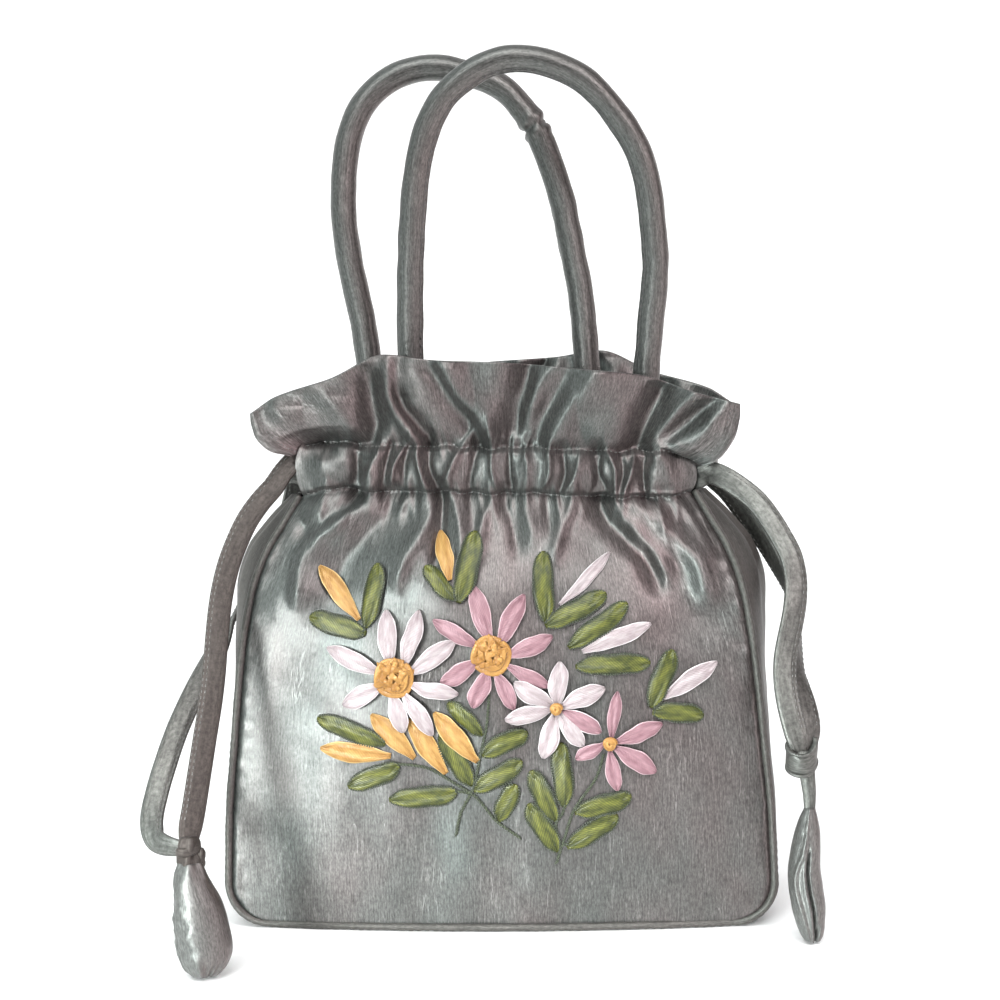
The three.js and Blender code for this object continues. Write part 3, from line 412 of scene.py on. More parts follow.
def shot_satin(name, cool, warm, slub_light=1.5, wrinkle=0.0, roughness=0.35, metal=0.8):
    """Satin mixed between two colours by which way each slope faces: painted sheen, cool on left-facing
    slopes and warm on right-facing ones, with soft random drift and thin slub lines along the cloth.
    """
    material, tree, shader = clear_nodes(name)
    cloth = node(tree, "ShaderNodeUVMap", uv_map="cloth").outputs["UV"]
    place = node(tree, "ShaderNodeTexCoord")
    turned = node(tree, "ShaderNodeSeparateXYZ")
    tree.links.new(place.outputs["Normal"], turned.inputs["Vector"])
    # each slope's sideways facing sets the mix of the two colours: painted sheen, as coloured light from each
    # side would give it
    slope = node(tree, "ShaderNodeMapRange")
    slope.inputs["From Min"].default_value = -0.8
    slope.inputs["From Max"].default_value = 0.9
    slope.inputs["To Max"].default_value = 0.5
    tree.links.new(turned.outputs["X"], slope.inputs["Value"])
    broad = stretched_noise(tree, cloth, (20.0, 11.0), 3.0)
    drift = node(tree, "ShaderNodeMath", operation="MULTIPLY_ADD")
    tree.links.new(broad, drift.inputs[0])
    drift.inputs[1].default_value = 0.62
    tree.links.new(slope.outputs["Result"], drift.inputs[2])
    shares = ramp(tree, drift.outputs["Value"], [(0.42, 0.0), (0.8, 1.0)])
    colour = mixed(tree, "MIX", shares, cool, warm)
    lines = stretched_noise(tree, cloth, (250.0, 30.0), 2.0, 0.6)
    some = stretched_noise(tree, cloth, (120.0, 36.0), 2.0, 0.6)
    thin = ramp(tree, lines, [(0.482, 0.0), (0.497, 1.0), (0.503, 1.0), (0.518, 0.0)])
    slub = tinted(tree, thin, some, [(0.46, 0.0), (0.58, 1.0)])
    colour = tinted(tree, colour, slub, [(0.0, 1.0), (1.0, slub_light)])
    grain = stretched_noise(tree, cloth, (1900.0, 130.0), 3.0, 0.6)
    colour = tinted(tree, colour, grain, [(0.3, 0.7), (0.7, 1.32)])
    frost = stretched_noise(tree, cloth, (1500.0, 520.0), 2.0, 0.7)
    colour = tinted(tree, colour, frost, [(0.3, 0.7), (0.7, 1.36)])
    tree.links.new(colour, shader.inputs["Base Color"])
    dull = ramp(tree, grain, [(0.3, roughness - 0.06), (0.7, roughness + 0.1)])
    tree.links.new(dull, shader.inputs["Roughness"])
    shader.inputs["Metallic"].default_value = metal
    shader.inputs["Anisotropic"].default_value = 0.6
    shader.inputs["Anisotropic Rotation"].default_value = 0.25
    shader.inputs["Specular IOR Level"].default_value = 0.3
    shader.inputs["Sheen Weight"].default_value = 0.06
    shader.inputs["Sheen Roughness"].default_value = 0.4
    tangent = node(tree, "ShaderNodeTangent", direction_type="UV_MAP", uv_map="cloth")
    tree.links.new(tangent.outputs["Tangent"], shader.inputs["Tangent"])
    heights = [(slub, 0.00003), (grain, 0.00003), (frost, 0.00002)]
    if wrinkle:
        heights.insert(0, (stretched_noise(tree, cloth, (110.0, 170.0), 3.0), wrinkle))
    bumped(tree, shader, heights)
    return material


def ribbon_satin(name, low, high, edge=None, sheen=0.1, roughness=0.36):
    """Ribbon: slanted ribs, softer colour along it, and a darker rim where one is given."""
    material, tree, shader = clear_nodes(name)
    cloth = node(tree, "ShaderNodeUVMap", uv_map="cloth").outputs["UV"]
    parts = node(tree, "ShaderNodeSeparateXYZ")
    tree.links.new(cloth, parts.inputs["Vector"])
    broad = stretched_noise(tree, cloth, (260.0, 110.0), 3.0)
    colour = ramp(tree, broad, [(0.38, low), (0.64, high)])
    slant = node(tree, "ShaderNodeTexWave", Scale=520.0, Distortion=2.5, Detail=2.0)
    slant.bands_direction = "DIAGONAL"
    tree.links.new(cloth, slant.inputs["Vector"])
    lines = stretched_noise(tree, cloth, (1500.0, 160.0), 2.0)
    colour = tinted(tree, colour, lines, [(0.3, 0.88), (0.7, 1.08)])
    if edge is not None:
        colour = tinted(tree, colour, slant.outputs["Fac"], [(0.1, 0.66), (0.8, 1.12)])
        far = node(tree, "ShaderNodeMath", operation="ABSOLUTE")
        tree.links.new(parts.outputs["X"], far.inputs[0])
        rim = node(tree, "ShaderNodeMapRange")
        rim.inputs["From Min"].default_value = 0.0024
        rim.inputs["From Max"].default_value = 0.0037
        tree.links.new(far.outputs["Value"], rim.inputs["Value"])
        colour = mixed(tree, "MIX", rim.outputs["Result"], colour, edge)
    tree.links.new(colour, shader.inputs["Base Color"])
    dull = ramp(tree, lines, [(0.3, roughness - 0.05), (0.7, roughness + 0.1)])
    tree.links.new(dull, shader.inputs["Roughness"])
    shader.inputs["Metallic"].default_value = 0.1
    shader.inputs["Sheen Weight"].default_value = sheen
    shader.inputs["Anisotropic"].default_value = 0.4
    bumped(tree, shader, [(slant.outputs["Fac"], 0.00005), (lines, 0.00003)])
    return material


def thread(name, low, high, roughness=0.6):
    """Twisted thread."""
    material, tree, shader = clear_nodes(name)
    place = node(tree, "ShaderNodeTexCoord").outputs["Object"]
    grain = node(tree, "ShaderNodeTexNoise", Scale=1800.0, Detail=3.0)
    tree.links.new(place, grain.inputs["Vector"])
    tree.links.new(ramp(tree, grain.outputs["Fac"], [(0.3, low), (0.7, high)]), shader.inputs["Base Color"])
    shader.inputs["Roughness"].default_value = roughness
    shader.inputs["Sheen Weight"].default_value = 0.3
    bumped(tree, shader, [(grain.outputs["Fac"], 0.0001)])
    return material


COOL = (0.112, 0.122, 0.116)
WARM = (0.152, 0.119, 0.118)
SATIN = shot_satin("satin", COOL, WARM, wrinkle=0.0002, roughness=0.4)
TUBE_SATIN = shot_satin("satin_tube", (0.115, 0.123, 0.117), (0.135, 0.115, 0.111), 1.25, 0.0003, 0.42)
# A lighter copy of the satin for the buds: painted light.
BUD_LIT_SATIN = shot_satin("satin_bud_lit", (0.16, 0.168, 0.16), (0.165, 0.14, 0.136), 1.2, 0.00022, 0.42)
# A darker copy of the satin for the piping: painted shade along the seams.
PIPING_SHADED_SATIN = shot_satin("satin_piping_shaded", (0.09, 0.092, 0.084), (0.1, 0.086, 0.082), 1.1, 0.0001, 0.55, 0.5)
# A darker, browner copy of the string satin for the left string's front end and its knot: painted shade.
STRING_SHADED = shot_satin("satin_string_shaded", (0.068, 0.059, 0.053), (0.062, 0.05, 0.046),
                         1.1, 0.00012, 0.55, 0.4)
STRING_COOL = shot_satin("satin_string_cool", (0.128, 0.134, 0.124), (0.123, 0.112, 0.106),
                         1.15, 0.0001, 0.42)
# A darker, duller copy of the satin for the gusset: painted shade on the sides and base.
GUSSET_SHADED_SATIN = shot_satin("satin_gusset_shaded", (0.066, 0.064, 0.058), (0.075, 0.064, 0.06), 1.2, 0.0001, 0.6, 0.2)
SEAM_THREAD = thread("seam_thread", (0.035, 0.032, 0.032), (0.085, 0.08, 0.078))
PALE_THREAD = thread("pale_thread", (0.05, 0.05, 0.046), (0.19, 0.19, 0.18))
STEM_THREAD = thread("stem_thread", (0.008, 0.014, 0.006), (0.05, 0.065, 0.028))
LEAF = ribbon_satin("leaf_ribbon", (0.025, 0.034, 0.004), (0.155, 0.165, 0.026),
                    edge=(0.008, 0.014, 0.003), sheen=0.02)
YELLOW = ribbon_satin("yellow_ribbon", (0.29, 0.14, 0.03), (0.46, 0.28, 0.085))
WHITE = ribbon_satin("white_ribbon", (0.29, 0.235, 0.245), (0.42, 0.375, 0.38))
PINK = ribbon_satin("pink_ribbon", (0.21, 0.105, 0.125), (0.33, 0.19, 0.215))
GOLD = ribbon_satin("centre_ribbon", (0.29, 0.13, 0.022), (0.48, 0.26, 0.07))
# Lighter copies of the ribbons, put on the outermost faces along each ribbon's edges: painted highlight.
EDGE_HIGHLIGHTS = {
    WHITE: ribbon_satin("white_edge_highlight", (0.68, 0.63, 0.64), (0.78, 0.74, 0.75)),
    PINK: ribbon_satin("pink_edge_highlight", (0.52, 0.36, 0.39), (0.64, 0.5, 0.52)),
    YELLOW: ribbon_satin("yellow_edge_highlight", (0.62, 0.42, 0.17), (0.74, 0.56, 0.28)),
}


# Drawstrings: their routes, as in the part's source
LEFT_FRONT = [
    (-79.3, -13.6, 185.0), (-82.2, -14.4, 184.4), (-85.6, -18.2, 180.0), (-88.6, -22.4, 175.0),
    (-92.7, -26.0, 170.2), (-97.8, -30.0, 162.8), (-101.6, -34.0, 154.3), (-104.5, -39.0, 145.0),
    (-106.5, -45.0, 132.8), (-107.0, -53.0, 118.3), (-106.9, -60.0, 107.0), (-107.2, -66.0, 97.3),
    (-108.2, -74.0, 84.7), (-109.2, -82.0, 71.7), (-110.0, -90.0, 60.0), (-110.6, -95.3, 52.4),
    (-110.4, -97.2, 46.5),
]
LEFT_BACK = [
    (-79.3, 13.6, 185.0), (-82.2, 14.4, 184.4), (-85.4, 20.0, 178.6), (-87.6, 26.0, 171.0),
    (-91.5, 31.5, 160.0), (-96.5, 33.5, 147.0), (-103.0, 29.5, 134.0), (-110.0, 17.0, 122.5),
    (-113.6, 3.0, 115.0), (-115.0, -12.0, 108.6), (-119.0, -34.0, 97.3), (-123.4, -52.0, 83.7),
    (-125.7, -64.0, 73.0), (-127.6, -74.0, 62.0), (-127.5, -82.5, 54.0), (-124.4, -88.5, 49.0),
    (-116.3, -94.4, 48.0), (-112.0, -95.8, 47.8),
]
RIGHT_FRONT = [
    (79.3, -13.6, 175.4), (81.8, -14.2, 176.0), (85.6, -17.6, 177.8), (91.1, -23.0, 176.0),
    (97.5, -26.0, 171.8), (103.1, -29.0, 166.9), (108.1, -33.0, 160.1), (112.0, -36.0, 153.3),
    (115.1, -39.0, 146.6), (116.7, -42.0, 136.5), (115.4, -46.0, 125.7), (113.3, -48.5, 116.8),
    (111.5, -51.0, 108.6), (111.1, -54.0, 100.7), (112.0, -57.0, 92.2), (114.2, -59.7, 82.5),
    (115.4, -60.7, 77.8), (116.2, -60.4, 72.8),
]
RIGHT_BACK = [
    (79.3, 13.6, 176.0), (82.2, 14.2, 176.9), (85.0, 16.2, 177.0), (88.0, 18.0, 174.5), (94.5, 14.0, 168.5),
    (101.5, 9.5, 158.5), (108.0, 2.5, 148.5), (113.0, -6.0, 139.0), (117.0, -18.0, 129.5),
    (118.2, -29.0, 120.5), (117.2, -38.0, 111.5), (116.6, -44.5, 102.0), (118.6, -50.0, 93.0),
    (120.0, -54.3, 84.0), (119.3, -56.7, 78.0), (118.0, -58.2, 72.8),
]


STRING_STEPS, STRING_SIDES = 168, 28
STRING_STITCH = 1.25
STITCHED_SHARE = 0.93
THREAD_RADIUS = 0.17


def string_relief(run, angle):
    """A folded and stitched strip: a groove along the stitched edge, soft ripples and small puckers."""
    groove = -0.42 * bump(np.cos(angle) - 0.66, 0.13) * (np.abs(np.sin(angle)) > 0.2)
    ripple = 0.07 * ripples(run, angle * 2.0, 14.0, 51) * np.abs(np.sin(angle))
    return groove + ripple


def make_string(name, route, facing_degrees, node_name, satin, seam):
    """A flat string; its flat side turns from the first heading to the last; seam tells its stitched edge."""
    route = np.array(route)
    line = np.vstack([route[:1], curve_through(route[1:], STRING_STEPS)])
    share = np.linspace(0, 1, len(line))
    heading = np.radians(along(facing_degrees, share))
    facing = np.stack([np.cos(heading), np.sin(heading), np.zeros(len(line))], axis=1)

    def relief(run, angle):
        return string_relief(run, angle if seam > 0 else math.pi - angle)

    # the end that runs into the knot is narrower and carries no stitches
    tuck = smooth([0, STITCHED_SHARE, 1.0], [1.0, 1.0, 0.62], share)
    build = Build()
    build.add(*sweep(line, facing, STRING_WIDTH, STRING_THICKNESS, STRING_SIDES, squareness=3.2, scale=tuck,
                     relief=relief))
    _, out, across = frames_along(line, facing)
    dense = spaced(np.hstack([line, out, across]), int(run_of(line) / STRING_STITCH))
    for row_side in (1.0, -1.0):
        for reach, sink in ((0.3, 0.12), (0.44, 0.42)):
            edge = dense[:, :3] + dense[:, 6:] * STRING_WIDTH * reach * seam
            edge = edge + dense[:, 3:6] * row_side * (STRING_THICKNESS / 2 - sink)
            for i in range(1, int(len(edge) * STITCHED_SHARE), 2):
                spindles(build, edge[i:i + 1], edge[i + 1:i + 2], THREAD_RADIUS, index=1, arch=0.1,
                         lift=dense[i, 3:6] * row_side)
    made = build.piece(name, [satin, PALE_THREAD])
    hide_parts(node_name)
    return made


# Name, route, headings in degrees at shares of the way, node, cloth and side of the stitched edge
for string in (
    ("string_left_front", LEFT_FRONT, [(0, 250), (0.35, 278), (1, 288)], "drawstring_left_front",
     STRING_SHADED, 1),
    ("string_left_back", LEFT_BACK, [(0, 90), (0.3, 170), (0.5, 262), (1, 272)], "drawstring_left_back",
     STRING_COOL, -1),
    ("string_right_front", RIGHT_FRONT, [(0, 290), (1, 270)], "drawstring_right_front", STRING_COOL, -1),
    ("string_right_back", RIGHT_BACK, [(0, 90), (1, -90)], "drawstring_right_back", STRING_COOL, -1),
):
    make_string(*string)


# The gathered cloth
# Folds: how far each one's crest stands out (below 0, its valley lies in), how wide it is on its left and on
# its right, how sharp its crest is (2 round, 1 sharp), and its line in x and z from its top down
FOLDS = rows_of("rise left right sharp line", [
    # below the casing, from the left shoulder to the right one
    (-2.6, 3.7, 2.3, 1.7, [(-53, 176), (-54, 171), (-59, 167), (-66, 162), (-75, 156)]),
    (3, 3.0, 6.9, 1.7, [(-48, 178), (-50, 174), (-50, 171), (-56, 166), (-65, 160), (-73, 153), (-77, 145),
                        (-78, 132)]),
    (-2.4, 5.2, 9.2, 1.8, [(-42, 174), (-42, 166), (-50, 156), (-59, 146), (-63, 134)]),
    (1.6, 2.1, 2.8, 1.7, [(-36, 176), (-36, 170), (-38, 164)]),
    (2.2, 4.6, 2.8, 1.7, [(-26, 174), (-25, 165), (-29, 156), (-35, 147), (-38, 138)]),
    (-2.8, 2.8, 2.3, 1.7, [(-22, 174), (-21, 168), (-21, 158), (-23, 146)]),
    (2, 2.0, 4.8, 1.7, [(-18, 174), (-16, 168), (-14, 160), (-13, 148)]),
    (-1.2, 3.0, 2.5, 1.7, [(-9, 174), (-9, 166), (-8, 156)]),
    (1.5, 2.0, 3.4, 1.7, [(-2, 174), (-2, 168), (-5, 160), (-7, 150)]),
    (-1.6, 2.5, 3.4, 1.7, [(4, 172), (4, 168), (7, 160), (9, 150)]),
    (1.1, 2.1, 3.7, 1.7, [(11, 173), (12, 166), (15, 156)]),
    (-1.1, 2.5, 2.5, 1.7, [(20, 172), (21, 166), (22, 158)]),
    (1.8, 3.4, 2.3, 1.7, [(32, 172), (31, 166), (27, 158), (24, 148)]),
    (-3.4, 4.1, 3.0, 1.7, [(42, 173), (42, 166), (45, 159), (52, 152), (59, 145), (64, 136)]),
    (1.8, 2.1, 3.9, 1.7, [(48, 170), (49, 164), (55, 157), (62, 149), (67, 140)]),
    (3.8, 5.1, 5.8, 1.8, [(55, 168), (60, 164), (66, 159), (74, 151), (80, 143), (83, 130)]),
    (2, 2.8, 2.5, 1.7, [(61, 171), (68, 170), (74, 166), (79, 159), (85, 148)]),
    # across the casing
    (-2, 1.8, 2.2, 1.45, [(-55, 190), (-55, 182), (-56, 174)]),
    (1.9, 1.6, 2.6, 1.45, [(-45, 193), (-48, 185), (-52, 175)]),
    (-1.6, 1.6, 1.6, 1.45, [(-41, 192), (-43, 184), (-45, 174)]),
    (1.8, 1.2, 1.6, 1.45, [(-33, 194), (-37, 188), (-40, 182), (-41, 174)]),
    (-1.3, 1.2, 1.3, 1.45, [(-35, 188), (-36, 182), (-36, 174)]),
    (2, 1.4, 1.7, 1.45, [(-31, 193), (-30, 184), (-27, 173)]),
    (-1.9, 1.5, 1.5, 1.45, [(-26, 193), (-26, 184), (-23, 174)]),
    (2.2, 1.8, 2.8, 1.45, [(-8, 197), (-12, 191), (-16, 184), (-20, 175)]),
    (-1.6, 1.8, 1.5, 1.45, [(-5, 192), (-8, 184), (-10, 174)]),
    (1.7, 1.3, 2.2, 1.45, [(-2, 200), (-1, 190), (-1, 182), (1, 173)]),
    (-1.7, 1.6, 1.8, 1.45, [(6, 190), (6, 181), (7, 172)]),
    (1.4, 1.4, 2.0, 1.45, [(12, 191), (13, 182), (13, 172)]),
    (1.9, 2.0, 1.6, 1.45, [(22, 188), (22, 180), (19, 172)]),
    (-1.6, 1.5, 1.6, 1.45, [(27, 188), (28, 180), (26, 171)]),
    (1.4, 1.5, 2.2, 1.45, [(34, 186), (32, 178), (25, 168)]),
    (-2.8, 2.0, 1.5, 1.45, [(41, 188), (41, 181), (43, 172)]),
    (2, 1.3, 1.6, 1.45, [(45, 187), (48, 179), (48, 171)]),
    (-1.4, 1.2, 1.2, 1.45, [(50, 186), (51, 179), (49, 171)]),
    (1.9, 1.4, 1.6, 1.45, [(56, 186), (54, 178), (51, 170)]),
    (-2.6, 1.5, 1.7, 1.45, [(60, 186), (59, 178), (60, 169)]),
    # up the frill
    (2.2, 3.2, 8.1, 1.9, [(-86, 207), (-75, 201), (-62, 195.5), (-51, 191)]),
    (-4.5, 7.0, 6.0, 1.9, [(-95, 199), (-82, 195), (-68, 191)]),
    (1.6, 4.1, 4.6, 1.9, [(-66, 211), (-60, 204), (-54, 196)]),
    (-4.6, 5.9, 4.6, 1.9, [(-50, 219), (-49, 208), (-48, 199), (-50, 191)]),
    (3, 4.1, 2.4, 1.9, [(-41, 224), (-41, 212), (-39, 206), (-34, 199), (-29, 192)]),
    (-3.2, 2.4, 4.1, 1.9, [(-38, 213), (-36, 206), (-31, 199), (-26, 192)]),
    (3.4, 2.7, 6.8, 1.9, [(-20, 224), (-13, 211), (-5, 201), (-1, 191)]),
    (-1.8, 4.1, 2.7, 1.9, [(-24, 222), (-17, 209), (-10, 199), (-6, 191)]),
    (-4.8, 6.8, 4.6, 1.9, [(15, 224), (11, 212), (9, 204), (9, 193)]),
    (1.9, 2.4, 3.5, 1.9, [(18, 216), (15, 206), (11, 196), (8, 190)]),
    (-1.8, 4.1, 3.2, 1.9, [(30, 221), (25, 210), (19, 199), (17, 190)]),
    (3.6, 4.6, 6.8, 1.9, [(41, 221), (34, 210), (27, 199), (22, 189)]),
    (-5.2, 5.9, 4.1, 1.9, [(69, 215), (62, 203), (58, 193), (56, 186)]),
    (2.8, 3.0, 4.9, 1.9, [(81, 212), (75, 205), (67, 195), (62, 188)]),
    (-2.6, 3.5, 2.7, 1.9, [(86, 207), (78, 200), (68, 191)]),
    (3.8, 3.2, 5.4, 1.9, [(93, 206), (83, 199), (72, 191.5), (64, 186)]),
])
# Puffs: their middle in x and z, how far they reach to each side and up, and how far they stand out
PUFFS = rows_of("x z wide tall rise", [
    (-68, 166, 11, 12, 4.2),
    (-66, 183, 11, 12, 2.2),
    (69, 178, 12, 12, 3.6),
    (71, 166, 10, 7, 1.4),
    (-60, 208, 16, 16, 3.0),
    (-24, 209, 17, 22, 3.8),
    (2, 211, 13, 20, 2.6),
    (50, 204, 17, 22, 4.6),
    (-32, 120, 70, 60, 1.2),
])
# The frill's ends: how far they go aside, up and out at shares of its height
FLAP = {"up": [0, 0.12, 0.25, 0.5, 0.75, 1.0], "aside": [0, 1.4, 4.4, 6.4, 4.4, 0.5],
        "drop": [0, -8.0, -8.0, -5.0, -2.0, 0], "out": [0, 4.5, 7.0, 6.5, 4.5, 3.0]}
PLEAT_SPACING = 3.6
FOLD_DEPTH = 1.3


def fold_push(x, z, fold):
    """How far one fold pushes the cloth outwards."""
    line = np.array(fold["line"], float)[::-1]
    at = smooth(line[:, 1], line[:, 0], z)
    slope = smooth(line[:, 1], line[:, 0], z + 0.6) - smooth(line[:, 1], line[:, 0], z - 0.6)
    across = (x - at) / np.sqrt(1 + (slope / 1.2) ** 2)
    shape = np.exp(-np.abs(across / np.where(across < 0, fold["left"], fold["right"])) ** fold["sharp"])
    ends = smooth([0, 1], [0, 1], (z - line[0, 1] + 6) / 9)
    ends = ends * smooth([0, 1], [0, 1], (line[-1, 1] + 5 - z) / 8)
    deeper = 1 + 0.25 * bump(z - BODY_HEIGHT - CASING_HEIGHT / 2, 10.0)
    return FOLD_DEPTH * deeper * fold["rise"] * shape * ends


def pleat_push(x, h, line, up, down, seed):
    """Small pleats that spring from a gathering line at a height and fade above and below it."""
    rng = np.random.default_rng(seed)
    push = np.zeros(np.broadcast(x, h).shape)
    place = -HALF_NECK + 1.5
    while place < HALF_NECK - 1.5:
        slope = rng.uniform(-0.35, 0.35)
        rise = rng.uniform(0.2, 1.3)
        across = (x - place - slope * (h - line)) / rng.uniform(0.55, 1.3)
        reach = np.where(h > line, up * rng.uniform(0.5, 1.3), down * rng.uniform(0.4, 1.6))
        push += rise * np.exp(-np.abs(across) ** 1.3 - ((h - line) / reach) ** 2)
        place += PLEAT_SPACING * rng.uniform(0.45, 1.6)
    return push


def casing_shift(x):
    """How far the casing's lines stand above their even height: more at the left, less at the right."""
    return smooth([-78, -30, 30, 78], [2.2, 1.2, -1.4, -3.0], x) + 0.7 * ripples(x, 0 * x, 13.0, 61)


# Rows of each panel's body, casing and frill, the rows of its lower corners, and its columns
CORNER_ROWS = 13
FRONT_ROWS, FRONT_COLUMNS = (92, 30, 46), 244
BACK_ROWS, BACK_COLUMNS = (66, 22, 34), 180


def side_value(name, heights):
    """A column of the sides' table at heights above the base."""
    share = (np.asarray(heights, float) - CORNER_RADIUS) / (BODY_HEIGHT - CORNER_RADIUS)
    return smooth(column(SIDES, "height"), column(SIDES, name), share)


def cloth_rows(rows):
    """Height above the casing's foot, half width, seam depth, middle depth and half thickness of each row."""
    body, casing, frill = rows
    corner = np.linspace(math.pi / 2, 0, CORNER_ROWS + 1)[:-1]
    reach = CORNER_RADIUS - SEAM_INSET - PIPING_GAP
    made = [(CORNER_RADIUS - reach * math.sin(a) - BODY_HEIGHT, HALF_STRAIGHT + reach * math.cos(a),
             HALF_BASE,
             HALF_BASE + 0.7 * BELLY_DEPTH * (1 - 0.25 * math.sin(a)), HALF_CLOTH) for a in corner]
    spread = np.linspace(0, 1, body) ** 0.85
    for z in CORNER_RADIUS + spread * (BODY_HEIGHT - CORNER_RADIUS):
        seam = float(side_value("seam", z)) * HALF_BASE
        neck = smooth([BODY_HEIGHT - 14, BODY_HEIGHT], [0.0, 1.0], z)
        width = float(side_value("width", z)) * HALF_WIDTH - SEAM_INSET - PIPING_GAP
        belly = float(side_value("belly", z)) * BELLY_DEPTH
        made.append((z - BODY_HEIGHT, width + (HALF_NECK - width) * neck ** 10, seam,
                     seam + belly + (NECK_DEPTH / 2 + 1.5 - seam - belly) * neck ** 3, HALF_CLOTH))
    for share in np.linspace(0, 1, casing + 1)[1:]:
        height = share * CASING_HEIGHT
        half = smooth([0.0, 0.11, 0.5, 0.89, 1.0], [1.3, 3.4, 4.2, 3.4, 1.3], share)
        made.append((height, HALF_NECK, NECK_EDGE_DEPTH, NECK_DEPTH / 2, float(half)))
    shares = 1 - (1 - np.linspace(0, 1, frill + 1)[1:]) ** 1.25
    for share in shares:
        half = HALF_CLOTH * math.sqrt(max(0.0, 1 - max(0.0, (share - 0.975) / 0.025) ** 2))
        made.append((CASING_HEIGHT + share * FRILL_HEIGHT, HALF_NECK + FRILL_FLARE * share ** 0.9,
                     NECK_EDGE_DEPTH + FRILL_LEAN * 0.5 * share, NECK_DEPTH / 2 + FRILL_LEAN * share, half))
    return np.array(made)


def cloth_grids(side, rows, columns):
    """Outer and inner points of a panel, side -1 in front and 1 behind, and their places on flat cloth."""
    table = cloth_rows(rows)
    heights, widths, seams, middles, halves = table.T
    across = np.linspace(-1, 1, columns)
    u, h = np.broadcast_arrays(across[None, :], heights[:, None])
    z = BODY_HEIGHT + np.minimum(h, CASING_HEIGHT)
    frill = np.clip((h - CASING_HEIGHT) / FRILL_HEIGHT, 0, 1)
    place = -side * u
    edge = smooth(column(FRILL_EDGE, "across"), column(FRILL_EDGE, "height"), place)
    x = u * widths[:, None]
    reach = smooth([-45, 0, CASING_HEIGHT, CASING_HEIGHT + FRILL_HEIGHT], [0, 1, 1, 0], h)
    corner = np.clip((np.abs(u) - 0.86) / 0.12, 0, 1) * (1 - np.clip(h / 8, 0, 1))
    z = z + frill * FRILL_HEIGHT * edge + casing_shift(x) * reach * (1 - 0.85 * corner)
    bow = seams[:, None] + (middles - seams)[:, None] * (1 - u ** 2)
    near_side = np.clip((1 - np.abs(u)) * 9, 0, 1)
    hem = np.clip((1 - np.abs(u)) * 12, 0.25, 1)
    # the back's folds are the front's, seen from behind
    seen = -side * x
    push = sum(fold_push(seen, z, fold) for fold in FOLDS)
    for puff in PUFFS:
        aside, above = (seen - puff["x"]) / puff["wide"], (z - puff["z"]) / puff["tall"]
        round_off = np.clip(1 - aside ** 2 - above ** 2, 0, 1)
        push = push + puff["rise"] * smooth([0, 1], [0, 1], round_off)
    push = push + pleat_push(x, h, 0.9, 5.5, 9.0, 21 + side)
    push = push + pleat_push(x, h, CASING_HEIGHT - 0.9, 8.0, 5.0, 31 + side)
    casing = np.clip(h / CASING_HEIGHT, 0, 1)
    push = push + 1.8 * np.sin(math.pi * casing) ** 0.7 * (h > 0) * (h < CASING_HEIGHT)
    for line in (0.9, CASING_HEIGHT - 0.9):
        push = push - 1.5 * bump(h - line, 1.0) - 0.9 * bump(h - line, 4.5)
    push = push * np.where(h > CASING_HEIGHT, hem, near_side)
    body = np.clip(-h / 12, 0, 1) * near_side
    waves = 0.8 * smooth([-130, -60], [0.35, 1], h) * ripples(x, z, 46.0, 11 + side)
    waves = waves + 0.25 * ripples(x, z, 17.0, 12 + side) * bump(h + 20, 70.0)
    push = push + body * waves
    low = np.clip((-h - 60) / 60, 0, 1)
    push = push + low * near_side * 0.22 * ripples(x + 0.2 * z, z * 0.35, 30.0, 17 + side)
    push = push + frill * (0.4 * ripples(x, z, 12.0, 13 + side) + 0.8 * ripples(x, z * 0.3, 24.0, 14 + side))
    ruck = np.clip((np.abs(u) - 0.9) / 0.1, 0, 1) ** 2 * np.clip((1 - np.abs(u)) * 60, 0, 1) * (h < -6)
    push = push + 0.55 * ruck * ripples(x * 0.6, z, 6.0, 15 + side, 11)
    push = push - 1.5 * bump(1 - np.abs(u), 0.013) * (h < 0)
    mouth = np.sign(u) * np.clip((np.abs(u) - 0.92) / 0.08, 0, 1) ** 2 * np.sin(math.pi * casing)
    x = x + 2.4 * mouth
    end = np.clip((np.abs(u) - 0.8) / 0.2, 0, 1) ** 1.6 * (h > CASING_HEIGHT)
    x = x + np.sign(u) * end * smooth(FLAP["up"], FLAP["aside"], frill)
    z = z + end * smooth(FLAP["up"], FLAP["drop"], frill)
    flap = end * smooth(FLAP["up"], FLAP["out"], frill)
    held = (h > 2.2) & (h < CASING_HEIGHT - 2.2)
    room = halves[:, None] - 1.7
    depth = bow + np.where(held, np.maximum(push, -room), push) + flap
    inner_depth = bow + np.where(held, np.minimum(push, room), push) + flap
    half = halves[:, None] * np.where(h > CASING_HEIGHT, np.sqrt(np.clip((1 - np.abs(u)) * 60, 0, 1)), 1.0)
    gathered = smooth([-100, -30], [0, 1], h)
    uvs = np.stack([x + (u * HALF_WIDTH - x) * gathered, h], axis=-1)
    outer = np.stack([x, side * (depth + half), z], axis=-1)
    inner = np.stack([x, side * (inner_depth - half), z], axis=-1)
    return outer, inner, uvs


def make_panel(name, side, rows, columns):
    outer, inner, uvs = cloth_grids(side, rows, columns)
    count, wide = outer.shape[:2]
    foot = rows[0] + CORNER_ROWS
    mouth = {r * wide + c for r in range(foot + 1, foot + rows[1] - 1) for c in (0, wide - 1)}
    build = Build()
    build.add_cloth(outer, inner, uvs, flip=side > 0, open_at=mouth)
    return build.piece(name, [SATIN]), outer


# Each panel is cut as wide as the body and as tall as body, casing and frill
FRONT, FRONT_CLOTH = make_panel("front_cloth", -1, FRONT_ROWS, FRONT_COLUMNS)
BACK, BACK_CLOTH = make_panel("back_cloth", 1, BACK_ROWS, BACK_COLUMNS)
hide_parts("front_panel")
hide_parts("back_panel")


